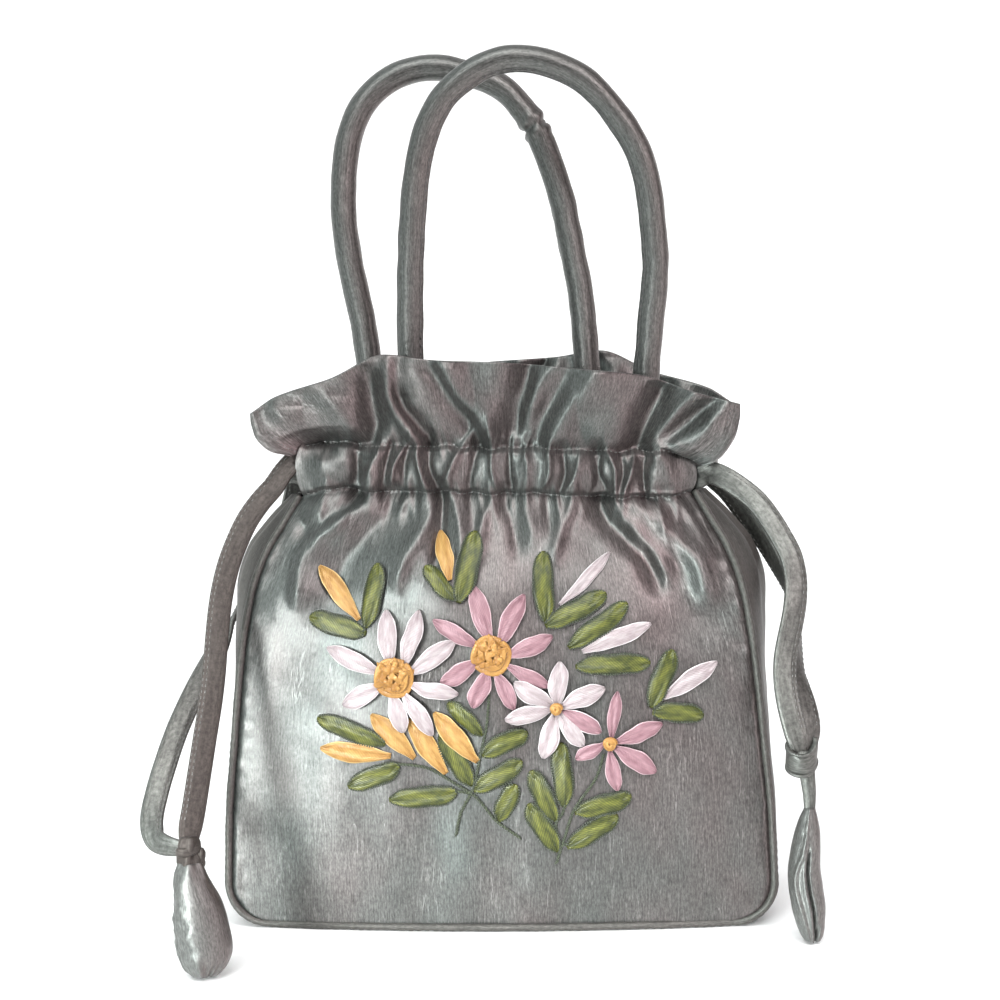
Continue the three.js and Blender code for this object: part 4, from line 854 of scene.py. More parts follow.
def tree_of(piece):
    mesh = piece.data
    points = [vertex.co[:] for vertex in mesh.vertices]
    return BVHTree.FromPolygons(points, [face.vertices[:] for face in mesh.polygons])


FRONT_TREE, BACK_TREE = tree_of(FRONT), tree_of(BACK)


def cloth_front(x, z, side=-1):
    """Where the outside of the cloth lies behind a place of the picture plane, in millimetres."""
    tree = FRONT_TREE if side < 0 else BACK_TREE
    hit = tree.ray_cast(Vector((x, side * 200, z)) * MM, Vector((0, -side, 0)))
    return hit[0].y / MM if hit[0] is not None else side * 40.0


# Seam lines, piping and gusset
def seam_line(count_side=70, count_corner=16, count_base=60):
    """Stations of the U-shaped seam: x, depth, z, the way out of the bag and the gusset's bulge."""
    def side(sign):
        rows = []
        for z in np.linspace(BODY_HEIGHT, CORNER_RADIUS, count_side):
            rows.append((sign * (float(side_value("width", z)) * HALF_WIDTH - SEAM_INSET),
                         float(side_value("seam", z)) * HALF_BASE, z, sign, 0.0,
                         float(side_value("bulge", z)) * BASE_DEPTH))
        reach = CORNER_RADIUS - SEAM_INSET
        for angle in np.linspace(0, math.pi / 2, count_corner)[1:]:
            out = (sign * math.cos(angle), -math.sin(angle))
            rows.append((sign * HALF_STRAIGHT + reach * out[0], HALF_BASE, CORNER_RADIUS + reach * out[1],
                         out[0], out[1], 0.0))
        return rows
    base = []
    for x in np.linspace(-HALF_STRAIGHT, HALF_STRAIGHT, count_base + 1)[1:-1]:
        bow = 0.7 * BELLY_DEPTH * (1 - (x / HALF_STRAIGHT) ** 2)
        base.append((x, HALF_BASE + bow, SEAM_INSET, 0.0, -1.0, 0.0))
    return np.array(side(-1) + base + side(1)[::-1])


SEAM = seam_line()


def make_piping(name, side, node_name):
    line = np.stack([SEAM[:, 0], side * SEAM[:, 1], SEAM[:, 2]], axis=1)
    count = 620
    line = spaced(line, count)
    share, stations = np.linspace(0, 1, count), np.linspace(0, 1, len(SEAM))
    out = np.stack([np.interp(share, stations, SEAM[:, k]) for k in (3, 4)], 1)
    facing = np.stack([out[:, 0], np.zeros(count), out[:, 1]], axis=1)

    def relief(run, angle):
        uneven = 0.6 + 0.4 * ripples(run, run * 0, 20.0, 21)
        return 0.1 * np.sin(run * 1.9 + 2 * angle) * uneven + 0.06 * np.sin(run * 0.37)

    build = Build()
    build.add(*sweep(line, facing, 2 * PIPING_RADIUS, 2 * PIPING_RADIUS, 14, relief=relief))
    made = build.piece(name, [PIPING_SHADED_SATIN])
    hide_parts(node_name)
    return made


make_piping("piping_front", -1, "front_piping")
make_piping("piping_back", 1, "back_piping")


def make_gusset():
    """Cloth strip between the panels, with soft folds near the neck, and the flat base."""
    wide = 46
    share = np.linspace(-1, 1, wide)
    reach = SEAM[:, 1] - 1.0
    x0, z0 = SEAM[:, 0], SEAM[:, 2]
    top = np.clip((z0 - 95) / 60, 0, 1)
    base = SEAM[:, 4] < -0.999
    layers = []
    for inset in (0.0, 1.6):
        crown = SEAM[:, 5][:, None] * (1 - share ** 2)
        fold = top[:, None] * 1.6 * np.cos(share * 9.0 + 0.8 * np.sin(z0 / 13)[:, None]) * (1 - share ** 2)
        above_foot = np.where(base, 0.0, 0.5 * np.clip((z0 - 12) / 30, 0, 1))[:, None]
        wave = above_foot * ripples(share[None, :] * 30, z0[:, None], 32.0, 41) * (1 - share ** 2)
        seam_groove = -0.8 * bump(1 - np.abs(share), 0.05)
        offset = SEAM_INSET - inset + crown + np.where(base[:, None], 0.0, fold + wave + seam_groove)
        line = np.stack([x0[:, None] + SEAM[:, 3][:, None] * offset,
                         share[None, :] * reach[:, None],
                         z0[:, None] + SEAM[:, 4][:, None] * offset], axis=-1)
        layers.append(line)
    run = np.concatenate([[0], np.cumsum(np.hypot(np.diff(x0), np.diff(z0)))])
    uvs = np.stack(np.broadcast_arrays(share[None, :] * HALF_BASE, run[:, None]), axis=-1)
    build = Build()
    build.add_cloth(*layers, uvs)
    made = build.piece("gusset_cloth", [GUSSET_SHADED_SATIN])
    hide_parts("gusset")
    return made


make_gusset()


# Drawstring stretches inside the casings
def casing_depth(x):
    share = np.clip(x / HALF_NECK, -1, 1)
    return NECK_EDGE_DEPTH + (NECK_DEPTH / 2 - NECK_EDGE_DEPTH) * (1 - share ** 2)


def make_inside_string(name, side, height, node_name):
    """Through the front casing, round the far side of the neck and back through the rear casing."""
    x = np.linspace(side * HALF_NECK * 0.998, -side * HALF_NECK, 60)
    front = np.stack([x, -casing_depth(x), np.full(60, height)], axis=1)
    angle = np.linspace(0, math.pi, 18)[1:-1]
    turn = np.stack([-side * (HALF_NECK + NECK_EDGE_DEPTH * 0.8 * np.sin(angle)),
                     -NECK_EDGE_DEPTH * np.cos(angle),
                     np.full(16, height)], axis=1)
    back = front[::-1] * (1, -1, 1)
    line = spaced(np.vstack([front, turn, back]), 150)
    line[:, 2] += 0.8 * casing_shift(line[:, 0])
    tangents = unit(np.gradient(line, axis=0))
    facing = np.stack([-tangents[:, 1], tangents[:, 0], np.zeros(len(line))], axis=1)
    build = Build()
    build.add(*sweep(line, facing, BUNCHED_WIDTH, STRING_THICKNESS, 20, squareness=3.0, relief=string_relief))
    made = build.piece(name, [STRING_COOL])
    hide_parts(node_name)


make_inside_string("string_left_held", -1, BODY_HEIGHT + 13.45, "drawstring_left_inside")
make_inside_string("string_right_held", 1, BODY_HEIGHT + 6.05, "drawstring_right_inside")


# Stitch lines along the casing and down the frill's side hems
def make_casing_stitches():
    build = Build()
    for cloth, side, rows in ((FRONT_CLOTH, -1, FRONT_ROWS), (BACK_CLOTH, 1, BACK_ROWS)):
        foot = CORNER_ROWS + rows[0] - 1
        for row in (foot + 1, foot + rows[1] - 1):
            line = spaced(cloth[row][3:-3], 150)
            line[:, 1] += side * 0.1
            spindles(build, line[0:-1:2], line[1::2], 0.22, arch=0.15, lift=(0, side, 0))
        for edge in (4, -5):
            line = spaced(cloth[foot + rows[1] + 4:-2, edge], 34)
            line[:, 1] += side * 0.1
            spindles(build, line[0:-1:2], line[1::2], 0.18, arch=0.1, lift=(0, side, 0))
    made = build.piece("casing_stitches", [PALE_THREAD])


make_casing_stitches()


# Handles: shares of the span and of the height above the casing's foot, as in the part's source
FRONT_ARCH = [
    (0.02, 0.0), (0.0, 0.16), (0.0, 0.33), (0.01, 0.53), (0.035, 0.69), (0.08, 0.82), (0.165, 0.912),
    (0.285, 0.968), (0.385, 0.993), (0.485, 1.0), (0.63, 0.985), (0.77, 0.944), (0.885, 0.875),
    (0.965, 0.807), (1.015, 0.727), (1.04, 0.62), (1.05, 0.515), (1.03, 0.41), (1.01, 0.285),
    (0.99, 0.15), (0.97, 0.0),
]
BACK_ARCH = [
    (0.0, 0.0), (0.0, 0.16), (-0.02, 0.32), (-0.05, 0.43), (-0.095, 0.54), (-0.125, 0.65),
    (-0.125, 0.735), (-0.1, 0.845), (-0.04, 0.925), (0.06, 0.98), (0.18, 1.01), (0.31, 1.018),
    (0.42, 1.008), (0.6, 0.972), (0.7, 0.92), (0.775, 0.86), (0.835, 0.78), (0.885, 0.695),
    (0.925, 0.585), (0.965, 0.473), (0.99, 0.3), (1.0, 0.15), (1.0, 0.0),
]


HANDLE_STEPS, HANDLE_SIDES = 420, 56
HANDLE_STITCH = 1.55


def arch_lean(height):
    share = np.clip((height - CASING_TOP) / (BODY_HEIGHT + HANDLE_HEIGHT - CASING_TOP), 0, 1)
    return HANDLE_LEAN * share ** 1.2


def make_handle(name, node_name, arch, left, span, side, feet, seam_angle, joins, seed):
    """A padded tube with diagonal pulls in its cover, a stitched seam and puckers where it is joined."""
    arch = np.array(arch)
    height = BODY_HEIGHT + arch[:, 1] * HANDLE_HEIGHT
    foot = feet[0] + (feet[1] - feet[0]) * np.clip(arch[:, 0], 0, 1)
    points = np.stack([left + arch[:, 0] * span, side * (foot + arch_lean(height)), height], axis=1)
    line = curve_through(points, HANDLE_STEPS)
    facing = facing_front(line)
    total = run_of(line)

    def relief(run, angle):
        twist = 0.08 * np.sin(run * 0.45 + 1.6 * angle + 1.3 * ripples(run, run * 0, 60.0, seed))
        twist = twist * (0.55 + 0.45 * ripples(run, run * 0, 35.0, seed + 1))
        soft = 0.11 * ripples(run, angle * 5.2, 22.0, seed + 2)
        seam = np.angle(np.exp(1j * (angle - np.interp(run, [0, total], seam_angle))))
        groove = -0.85 * bump(seam, 0.13) + 0.28 * bump(np.abs(seam) - 0.3, 0.16)
        pull = -0.07 * np.abs(np.sin(run * 0.95 + ripples(run, run * 0, 12.0, seed + 3))) * bump(seam, 0.5)
        pucker = 0.0
        for place, strength in joins:
            near = run - place * total
            pucker = pucker - strength * bump(near, 1.1) + 0.5 * strength * bump(np.abs(near) - 3.2, 1.8)
            pucker = pucker + 0.35 * strength * np.sin(angle * 4 + near) * bump(near, 5.0)
        return twist + soft + groove + pull + pucker

    build = Build()
    build.add(*sweep(line, facing, HANDLE_DIAMETER, HANDLE_DIAMETER, HANDLE_SIDES, relief=relief))
    _, out, across = frames_along(line, facing)
    marks = spaced(np.hstack([line, out, across]), int(total / HANDLE_STITCH))
    share = np.linspace(0, 1, len(marks))
    at = np.interp(share, [0, 1], seam_angle)[:, None]
    way = marks[:, 6:] * np.cos(at) + marks[:, 3:6] * np.sin(at)
    edge = marks[:, :3] + way * (HANDLE_DIAMETER / 2 - 0.55)
    turned_way = marks[:, 6:] * np.cos(at + 0.17) + marks[:, 3:6] * np.sin(at + 0.17)
    turned = marks[:, :3] + turned_way * (HANDLE_DIAMETER / 2 - 0.3)
    for i in range(12, len(marks) - 12, 2):
        spindles(build, edge[i:i + 1], turned[i + 1:i + 2], 0.26, index=1, arch=0.25, lift=way[i])
    made = build.piece(name, [TUBE_SATIN, SEAM_THREAD])
    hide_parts(node_name)
    return made


def foot_depths(node_name, side):
    """How far from the middle the two feet of a handle stand, read from the solid that holds it."""
    points = np.array([vertex.co[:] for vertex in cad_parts[node_name].data.vertices]) / MM
    low = points[points[:, 2] < BODY_HEIGHT + 3]
    middle = (low[:, 0].min() + low[:, 0].max()) / 2
    return tuple(float(np.mean(side * low[sign * (low[:, 0] - middle) > 0][:, 1])) for sign in (-1, 1))


make_handle("handle_front", "front_handle", FRONT_ARCH, -33.5, 94.0, -1, foot_depths("front_handle", -1),
            (0.35, 0.35), [(0.045, 0.5)], 61)
make_handle("handle_back", "back_handle", BACK_ARCH, -51.0, 89.0, 1, foot_depths("back_handle", 1),
            (3.3, 3.3), [(0.62, 1.0)], 71)


# Knots and stuffed buds
def turned_form(top, length, radius, profile, flatness, relief, rings=56, sides=72, dent=0.0):
    """A form turned about its upright axis with folds; relief gives the folds at shares down and angles."""
    down = np.linspace(0, 1, rings)
    width = along(profile, down) * radius
    angle = np.linspace(0, 2 * math.pi, sides, endpoint=False)
    push = relief(down[:, None], angle[None, :])
    r = width[:, None] * (1 + push)
    points = np.stack([top[0] + r * np.cos(angle) * flatness, top[1] + r * np.sin(angle),
                       top[2] - down[:, None] * length + 0 * r], axis=-1)
    first = np.array([[top[0], top[1], top[2] + 0.0]])
    last = np.array([[top[0], top[1], top[2] - length + dent]])
    uvs = np.stack(np.broadcast_arrays(angle[None, :] * radius, down[:, None] * length), axis=-1)
    faces = [tuple(f) for f in grid_faces(rings, sides, ring=True, flip=True)]
    end = rings * sides
    faces += [(end, j, (j + 1) % sides) for j in range(sides)]
    faces += [(end + 1, (rings - 1) * sides + (j + 1) % sides, (rings - 1) * sides + j) for j in range(sides)]
    return (np.concatenate([points.reshape(-1, 3), first, last]), faces,
            np.concatenate([uvs.reshape(-1, 2), [[0, 0], [0, length]]]))


def make_form(name, node_name, forms, materials=None):
    build = Build()
    for points, faces, uvs in forms:
        build.add(points, faces, uvs)
    made = build.piece(name, materials or [STRING_COOL])
    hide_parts(node_name)
    return made


def off_angle(angle, place):
    return np.angle(np.exp(1j * (angle - place)))


def make_bud(name, node_name, top, size, profile, drift, folds, grid, dent, depth):
    """A stuffed bud of a length and a radius, whose middle drifts aside on its way down."""
    length, radius = size
    points, faces, uvs = turned_form(top, length, radius, profile, 1.0, folds, *grid, dent)
    points[:, 0] += along(drift, (top[2] - points[:, 2]) / length)
    points[:, 1] = top[1] + (points[:, 1] - top[1]) * depth
    make_form(name, node_name, [(points, faces, uvs)], [BUD_LIT_SATIN])


def left_bud_folds(down, angle):
    """A smooth right side, small wrinkles on the left third and a gathered pinch at the lower right."""
    front = -math.pi / 2
    left = smooth([-1.9, -0.75, -0.35], [1, 1, 0], off_angle(angle, front + 0.5 * down) + 0 * down)
    left = left * (off_angle(angle, front) > -1.9)
    broad = 0.026 * ripples(angle * 9, down * 34, 7.0, 83, 11)
    wrinkles = (broad + 0.014 * ripples(angle * 22, down * 80, 7.0, 84)) * left
    crest = 0.035 * bump(off_angle(angle, front - 0.62 + 0.6 * down), 0.34)
    seam = -0.05 * bump(off_angle(angle, front - 1.05 + 0.1 * down), 0.06)
    turned = off_angle(angle, front + 0.55)
    pinch = -0.4 * bump(turned, 0.12) * bump(down - 0.99, 0.1)
    gathers = 0.12 * np.cos(11 * turned) * bump(down - 0.96, 0.1) * bump(turned, 1.0)
    neck = 0.1 * np.cos(angle * 5 + 1) * bump(down, 0.12)
    return wrinkles + crest + seam + pinch + gathers + neck


LEFT_BUD_PROFILE = [
    (0.0, 0.4), (0.07, 0.52), (0.18, 0.66), (0.35, 0.85), (0.52, 0.96), (0.7, 1.0), (0.8, 0.97),
    (0.88, 0.86), (0.95, 0.7), (1.0, 0.5),
]
# The buds' middles drift to the right or left on their way down
LEFT_BUD_DRIFT = [
    (0.0, 0.0), (0.1, 0.2), (0.2, 0.9), (0.35, 2.4), (0.55, 3.4), (0.8, 4.6), (1.0, 4.2),
]
make_bud("bud_left", "left_bud", (-110.2, -97.5, 43.4), (42.0, 10.4), LEFT_BUD_PROFILE, LEFT_BUD_DRIFT,
         left_bud_folds, (72, 120), dent=3.0, depth=0.92)


def right_bud_folds(down, angle):
    """Closed above; a slit from a third of the way down, its left side over its right, open at the foot."""
    front = -math.pi / 2
    slit = off_angle(angle, front + smooth([0, 0.4, 0.75, 1], [0.0, 0.05, 0.12, 0.16], down))
    opened = smooth([0.26, 0.4, 1.0], [0, 1, 1], down)
    groove = -0.4 * opened * bump(slit - 0.06, 0.085) + 0.08 * opened * bump(slit + 0.16, 0.16)
    mouth = -0.55 * bump(slit - 0.24, 0.2) * smooth([0.84, 0.94, 1], [0, 1, 1], down)
    crest = 0.13 * bump(slit + smooth([0, 0.3, 0.55, 1], [0.05, 0.3, 0.75, 0.45], down), 0.15)
    puckers = 0.05 * np.sin(down * 60 + 3 * angle) * bump(slit + 0.1, 0.5) * bump(down - 0.14, 0.14)
    waist = 0.06 * np.sin(down * 12 + 1.2) * bump(off_angle(angle, 0.1), 0.9)
    return groove + mouth + crest + puckers + waist


RIGHT_BUD_PROFILE = [
    (0.0, 0.31), (0.08, 0.53), (0.2, 0.77), (0.33, 0.89), (0.47, 0.93), (0.6, 0.97), (0.73, 1.0),
    (0.87, 0.85), (0.96, 0.64), (1.0, 0.45),
]
RIGHT_BUD_DRIFT = [
    (0.0, 0.0), (0.08, -0.5), (0.2, -0.9), (0.33, -1.5), (0.47, -2.2), (0.6, -1.7), (0.73, -0.5),
    (1.0, 0.9),
]
make_bud("bud_right", "right_bud", (119.5, -59.2, 52.6), (51.4, 6.6), RIGHT_BUD_PROFILE, RIGHT_BUD_DRIFT,
         right_bud_folds, (84, 150), dent=2.0, depth=1.0)


def wrap_knot(centre, radius, height, turns, band, tilt, phase):
    """A strip wound round itself: overlapping turns that make a knot."""
    forms = []
    for k in range(turns):
        angle = np.linspace(0, 2 * math.pi, 61)
        lean = tilt * (-1 if k % 2 else 1)
        z = centre[2] + height * (k / max(turns - 1, 1) - 0.5) + lean * radius * np.cos(angle + phase)
        z = z + 0.4 * np.sin(2 * angle + 1.3 + k)
        r = radius * (1 + 0.09 * np.sin(angle * 2 + k * 1.9) + 0.08 * np.cos(angle - 2.7))
        line = np.stack([centre[0] + r * np.cos(angle), centre[1] + r * np.sin(angle), z], axis=1)[:-1]
        out = np.stack([np.cos(angle), np.sin(angle), 0 * angle], axis=1)[:-1]
        tangents = unit(np.roll(line, -1, axis=0) - np.roll(line, 1, axis=0))
        across = unit(np.cross(tangents, out))
        phi = np.linspace(0, 2 * math.pi, 16, endpoint=False)
        a = np.sign(np.cos(phi)) * np.abs(np.cos(phi)) ** 0.75 * band / 2
        b = np.sin(phi) * 1.15 + 0.12 * np.sin(3 * phi)
        ring = line[:, None, :] + across[:, None, :] * a[None, :, None] + out[:, None, :] * b[None, :, None]
        faces = []
        count = len(line)
        for i in range(count):
            for j in range(16):
                n, m = (i + 1) % count, (j + 1) % 16
                faces.append((i * 16 + j, n * 16 + j, n * 16 + m, i * 16 + m))
        uvs = np.stack(np.broadcast_arrays(a[None, :], (angle[:-1] * radius)[:, None]), axis=-1)
        forms.append((ring.reshape(-1, 3), faces, uvs.reshape(-1, 2)))
    return forms


KNOT_CORE = [(0.0, 0.5), (0.25, 0.9), (0.75, 0.9), (1.0, 0.5)]
TIED = [(0.0, 0.72), (0.2, 0.94), (0.5, 1.0), (0.8, 1.0), (1.0, 0.9)]


def tied_folds(down, angle):
    """Creases that run down through a knot."""
    return 0.09 * np.sin(angle * 5 + down * 4) - 0.2 * bump(down - 0.45 - 0.12 * np.cos(angle + 0.6), 0.1)


LEFT_KNOT = wrap_knot((-110.4, -97.2, 47.2), 3.5, 0.0, 1, 3.4, 0.35, 0.9)
LEFT_KNOT.append(turned_form((-110.5, -97.0, 52.6), 11.0, 4.3, TIED, 1.0, tied_folds, rings=40, sides=72))
LEFT_KNOT.append(turned_form((-106.2, -96.4, 48.2), 7.6, 2.0, KNOT_CORE, 0.9, tied_folds, rings=20, sides=32))
make_form("knot_left", "left_knot", LEFT_KNOT, [STRING_SHADED])
TAIL_LINE = curve_through([(117.6, -59.0, 74.0), (118.2, -59.1, 70.0), (118.9, -59.1, 64.0),
                           (119.5, -59.1, 58.0),
                           (119.6, -59.1, 51.6)], 40)
COLLAR_LEAN, COLLAR_PHASE = 0.5, -1.3
RIGHT_KNOT = wrap_knot((117.0, -59.0, 72.8), 5.0, 0.0, 1, 7.8, COLLAR_LEAN, COLLAR_PHASE)
for rim_height in (76.7, 68.9):
    RIGHT_KNOT += wrap_knot((117.0, -59.0, rim_height), 5.3, 0.0, 1, 1.3, COLLAR_LEAN, COLLAR_PHASE)
RIGHT_KNOT.append(turned_form((117.2, -59.0, 75.2), 6.4, 4.4, KNOT_CORE, 1.0, tied_folds, rings=14, sides=32))
RIGHT_KNOT.append(sweep(TAIL_LINE, facing_front(TAIL_LINE), 7.0, 3.2, 20,
                        squareness=2.6, scale=np.linspace(1.0, 0.6, 40), relief=string_relief))
make_form("knot_right", "right_knot", RIGHT_KNOT)


# Ribbon embroidery: the part's chart of 148 units over 160 mm, from the upper left corner
CHART_UNIT = 160.0 / 148
CHART_LEFT, CHART_TOP = -79.0, 165.5
RIBBON_WIDTH = 8.4
# Each ribbon stitch: its tip, its base, its width as a share of the ribbon's
FLOWERS = {
    "daisy_white": {
        "centre": (37, 59), "radius": 7, "over": 2, "ribbon": WHITE,
        "petals": [
            ((34, 35), (35.5, 55), 0.95), ((46, 35), (40.5, 55.5), 0.9), ((59, 46), (42, 57.5), 0.95),
            ((60, 65), (42, 61), 0.8), ((50.5, 80), (39.5, 63.5), 0.85), ((40, 79), (35.5, 64), 0.9),
            ((17.5, 69.5), (33, 61), 0.95), ((12, 48.5), (32.5, 57), 0.9),
        ],
    },
    "daisy_pink": {
        "centre": (72, 51.5), "radius": 7, "over": 1, "ribbon": PINK,
        "petals": [
            ((65.5, 26.5), (72, 47), 0.95), ((84, 30), (74.5, 48.5), 0.95), ((94, 45), (77, 51.5), 0.9),
            ((93, 63), (77, 54.5), 0.7), ((80, 71), (73, 57), 0.8), ((65, 70), (70.5, 56), 0.95),
            ((53.5, 61), (67.5, 53), 0.9), ((51, 38.5), (68, 48.5), 0.8),
        ],
    },
    "small_daisy_white": {
        "centre": (95, 70.5), "radius": 2.6, "over": 2, "ribbon": WHITE,
        "petals": [
            ((96.5, 54), (95.3, 70), 0.95), ((112.5, 63.5), (96.5, 70.2), 0.95),
            ((104.5, 84.5), (96, 72), 0.85), ((90, 88.5), (94.5, 72), 0.95),
            ((76.5, 74.5), (93.5, 70.5), 0.85), ((80, 61), (94, 69.5), 0.95),
            ((111, 79.5), (97, 71.2), 0.85),
        ],
        "other": {6: PINK},
    },
    "small_daisy_pink": {
        "centre": (114, 83.5), "radius": 3, "over": 1, "ribbon": PINK,
        "petals": [
            ((117, 65), (114.5, 82), 0.65), ((133, 77), (116, 83), 0.85),
            ((130.5, 94.5), (115.5, 85), 0.95), ((116.5, 101), (114, 86), 0.75),
            ((101.5, 89), (112, 83.5), 0.7),
        ],
    },
}
LOOSE = {
    "yellow_bud_left": ((9, 19.5), (24, 38.5), 0.85, 0),
    "yellow_bud_middle": ((53.2, 7.5), (57.2, 24.6), 0.8, 0),
    "yellow_petal_1": ((9, 85), (35, 87.5), 0.95, 0),
    "yellow_petal_2": ((28, 72.5), (43.5, 88.5), 1.0, 0),
    "yellow_petal_3": ((41.5, 74), (55, 94), 1.0, 0),
    "yellow_petal_4": ((51, 71.5), (66.5, 89.5), 1.0, 1),
    "white_bud_upper": ((115, 16), (96.5, 34), 0.6, 0),
    "white_bud_middle": ((129.4, 41), (104.6, 50.8), 0.8, 0),
    "white_bud_right": ((153, 55.5), (133.2, 68.2), 0.85, 0),
}
LEAVES = {
    "leaf_pair_left": ([((31, 18.5), (26.4, 41.5), 0.9), ((5.5, 37.5), (26.6, 43.5), 0.95)],
                       [[(27.4, 37), (25, 44.6)]]),
    "leaf_pair_middle": ([((48, 19.5), (59.5, 31.5), 0.75), ((66.5, 7.5), (60.3, 32.5), 1.05)],
                         [[(61, 28), (58.5, 31.5)]]),
    "leaf_pair_right": ([((91, 15), (91.6, 40), 0.95), ((113.5, 30), (91.4, 41.4), 0.95)],
                        [[(91.6, 36), (93.5, 41)]]),
    "leaf_right_middle": ([((121, 33.5), (99.5, 49.2), 0.92)], []),
    "leaf_right_lower": ([((129, 55), (102, 56), 0.95)], []),
    "leaf_pair_far_right": ([((137, 50.5), (129, 71.5), 0.95), ((148, 74.5), (129.4, 73), 0.9)],
                            [[(129.8, 68), (130.5, 73.5)]]),
    "leaf_far_left": ([((8, 74), (33, 83.5), 0.85)], []),
    "leaf_spray_middle": (
        [((56, 68), (68.4, 80), 0.75), ((53.5, 78.5), (64.2, 98.6), 1.0), ((84.5, 79), (68, 87.4), 0.95),
         ((82.5, 89.5), (64.6, 100.4), 0.95), ((38, 91), (19, 99), 0.95), ((58.8, 101), (34, 103.5), 0.95),
         ((80, 98), (73.4, 111.6), 0.9)],
        [[(71, 62), (70, 76), (67.2, 88), (65.6, 96), (64, 101), (60, 108), (58, 117)],
         [(36.5, 90.5), (48, 92), (56, 96.5), (64, 101.5)],
         [(56.5, 100.5), (64.5, 101.8), (72, 111), (81.5, 118)]]),
    "leaf_spray_right": (
        [((96.5, 83), (97.2, 106.5), 0.95), ((85.5, 93), (94.4, 111.5), 0.95),
         ((84.5, 105), (94.8, 123), 0.95),
         ((121.5, 103), (101, 108.6), 0.95), ((116.5, 110), (98, 121.5), 0.95)],
        [[(111.6, 87.5), (109, 96), (101, 107), (97.5, 117), (94, 127.5)],
         [(97.6, 104), (96.6, 109), (94.2, 112), (95.6, 120.5)], [(93, 120), (96.4, 120.6), (99, 120)]]),
}
PETAL_WIDTH = [
    (0.0, 0.26), (0.1, 0.42), (0.3, 0.8), (0.52, 1.0), (0.74, 0.9), (0.88, 0.6), (0.96, 0.32),
    (1.0, 0.14),
]
LEAF_WIDTH = [
    (0.0, 0.2), (0.08, 0.5), (0.22, 0.86), (0.5, 1.0), (0.76, 0.94), (0.9, 0.7), (0.97, 0.4), (1.0, 0.14),
]
LAYER = 1.15


def on_chart(point):
    return np.array([CHART_LEFT + point[0] * CHART_UNIT, CHART_TOP - point[1] * CHART_UNIT])


def taut_front(x, z):
    """The cloth's front as a smooth surface that a ribbon rests on, touching but not cutting the cloth."""
    sample = [slice(None, None, 4), slice(None, None, 3)]
    sx, sz = x[sample[0], sample[1]], z[sample[0], sample[1]]
    depth = np.array([cloth_front(a, b) for a, b in zip(sx.ravel(), sz.ravel())])
    cx, cz = sx.mean(), sz.mean()

    def terms(px, pz):
        px, pz = px - cx, pz - cz
        return np.stack([np.ones_like(px), px, pz, px * px, px * pz, pz * pz], axis=-1)

    basis = terms(sx.ravel(), sz.ravel())
    weights = np.linalg.lstsq(basis, depth, rcond=None)[0]
    slack = min(0.0, float(np.min(depth - basis @ weights)))
    return terms(x, z) @ weights + slack * 0.85


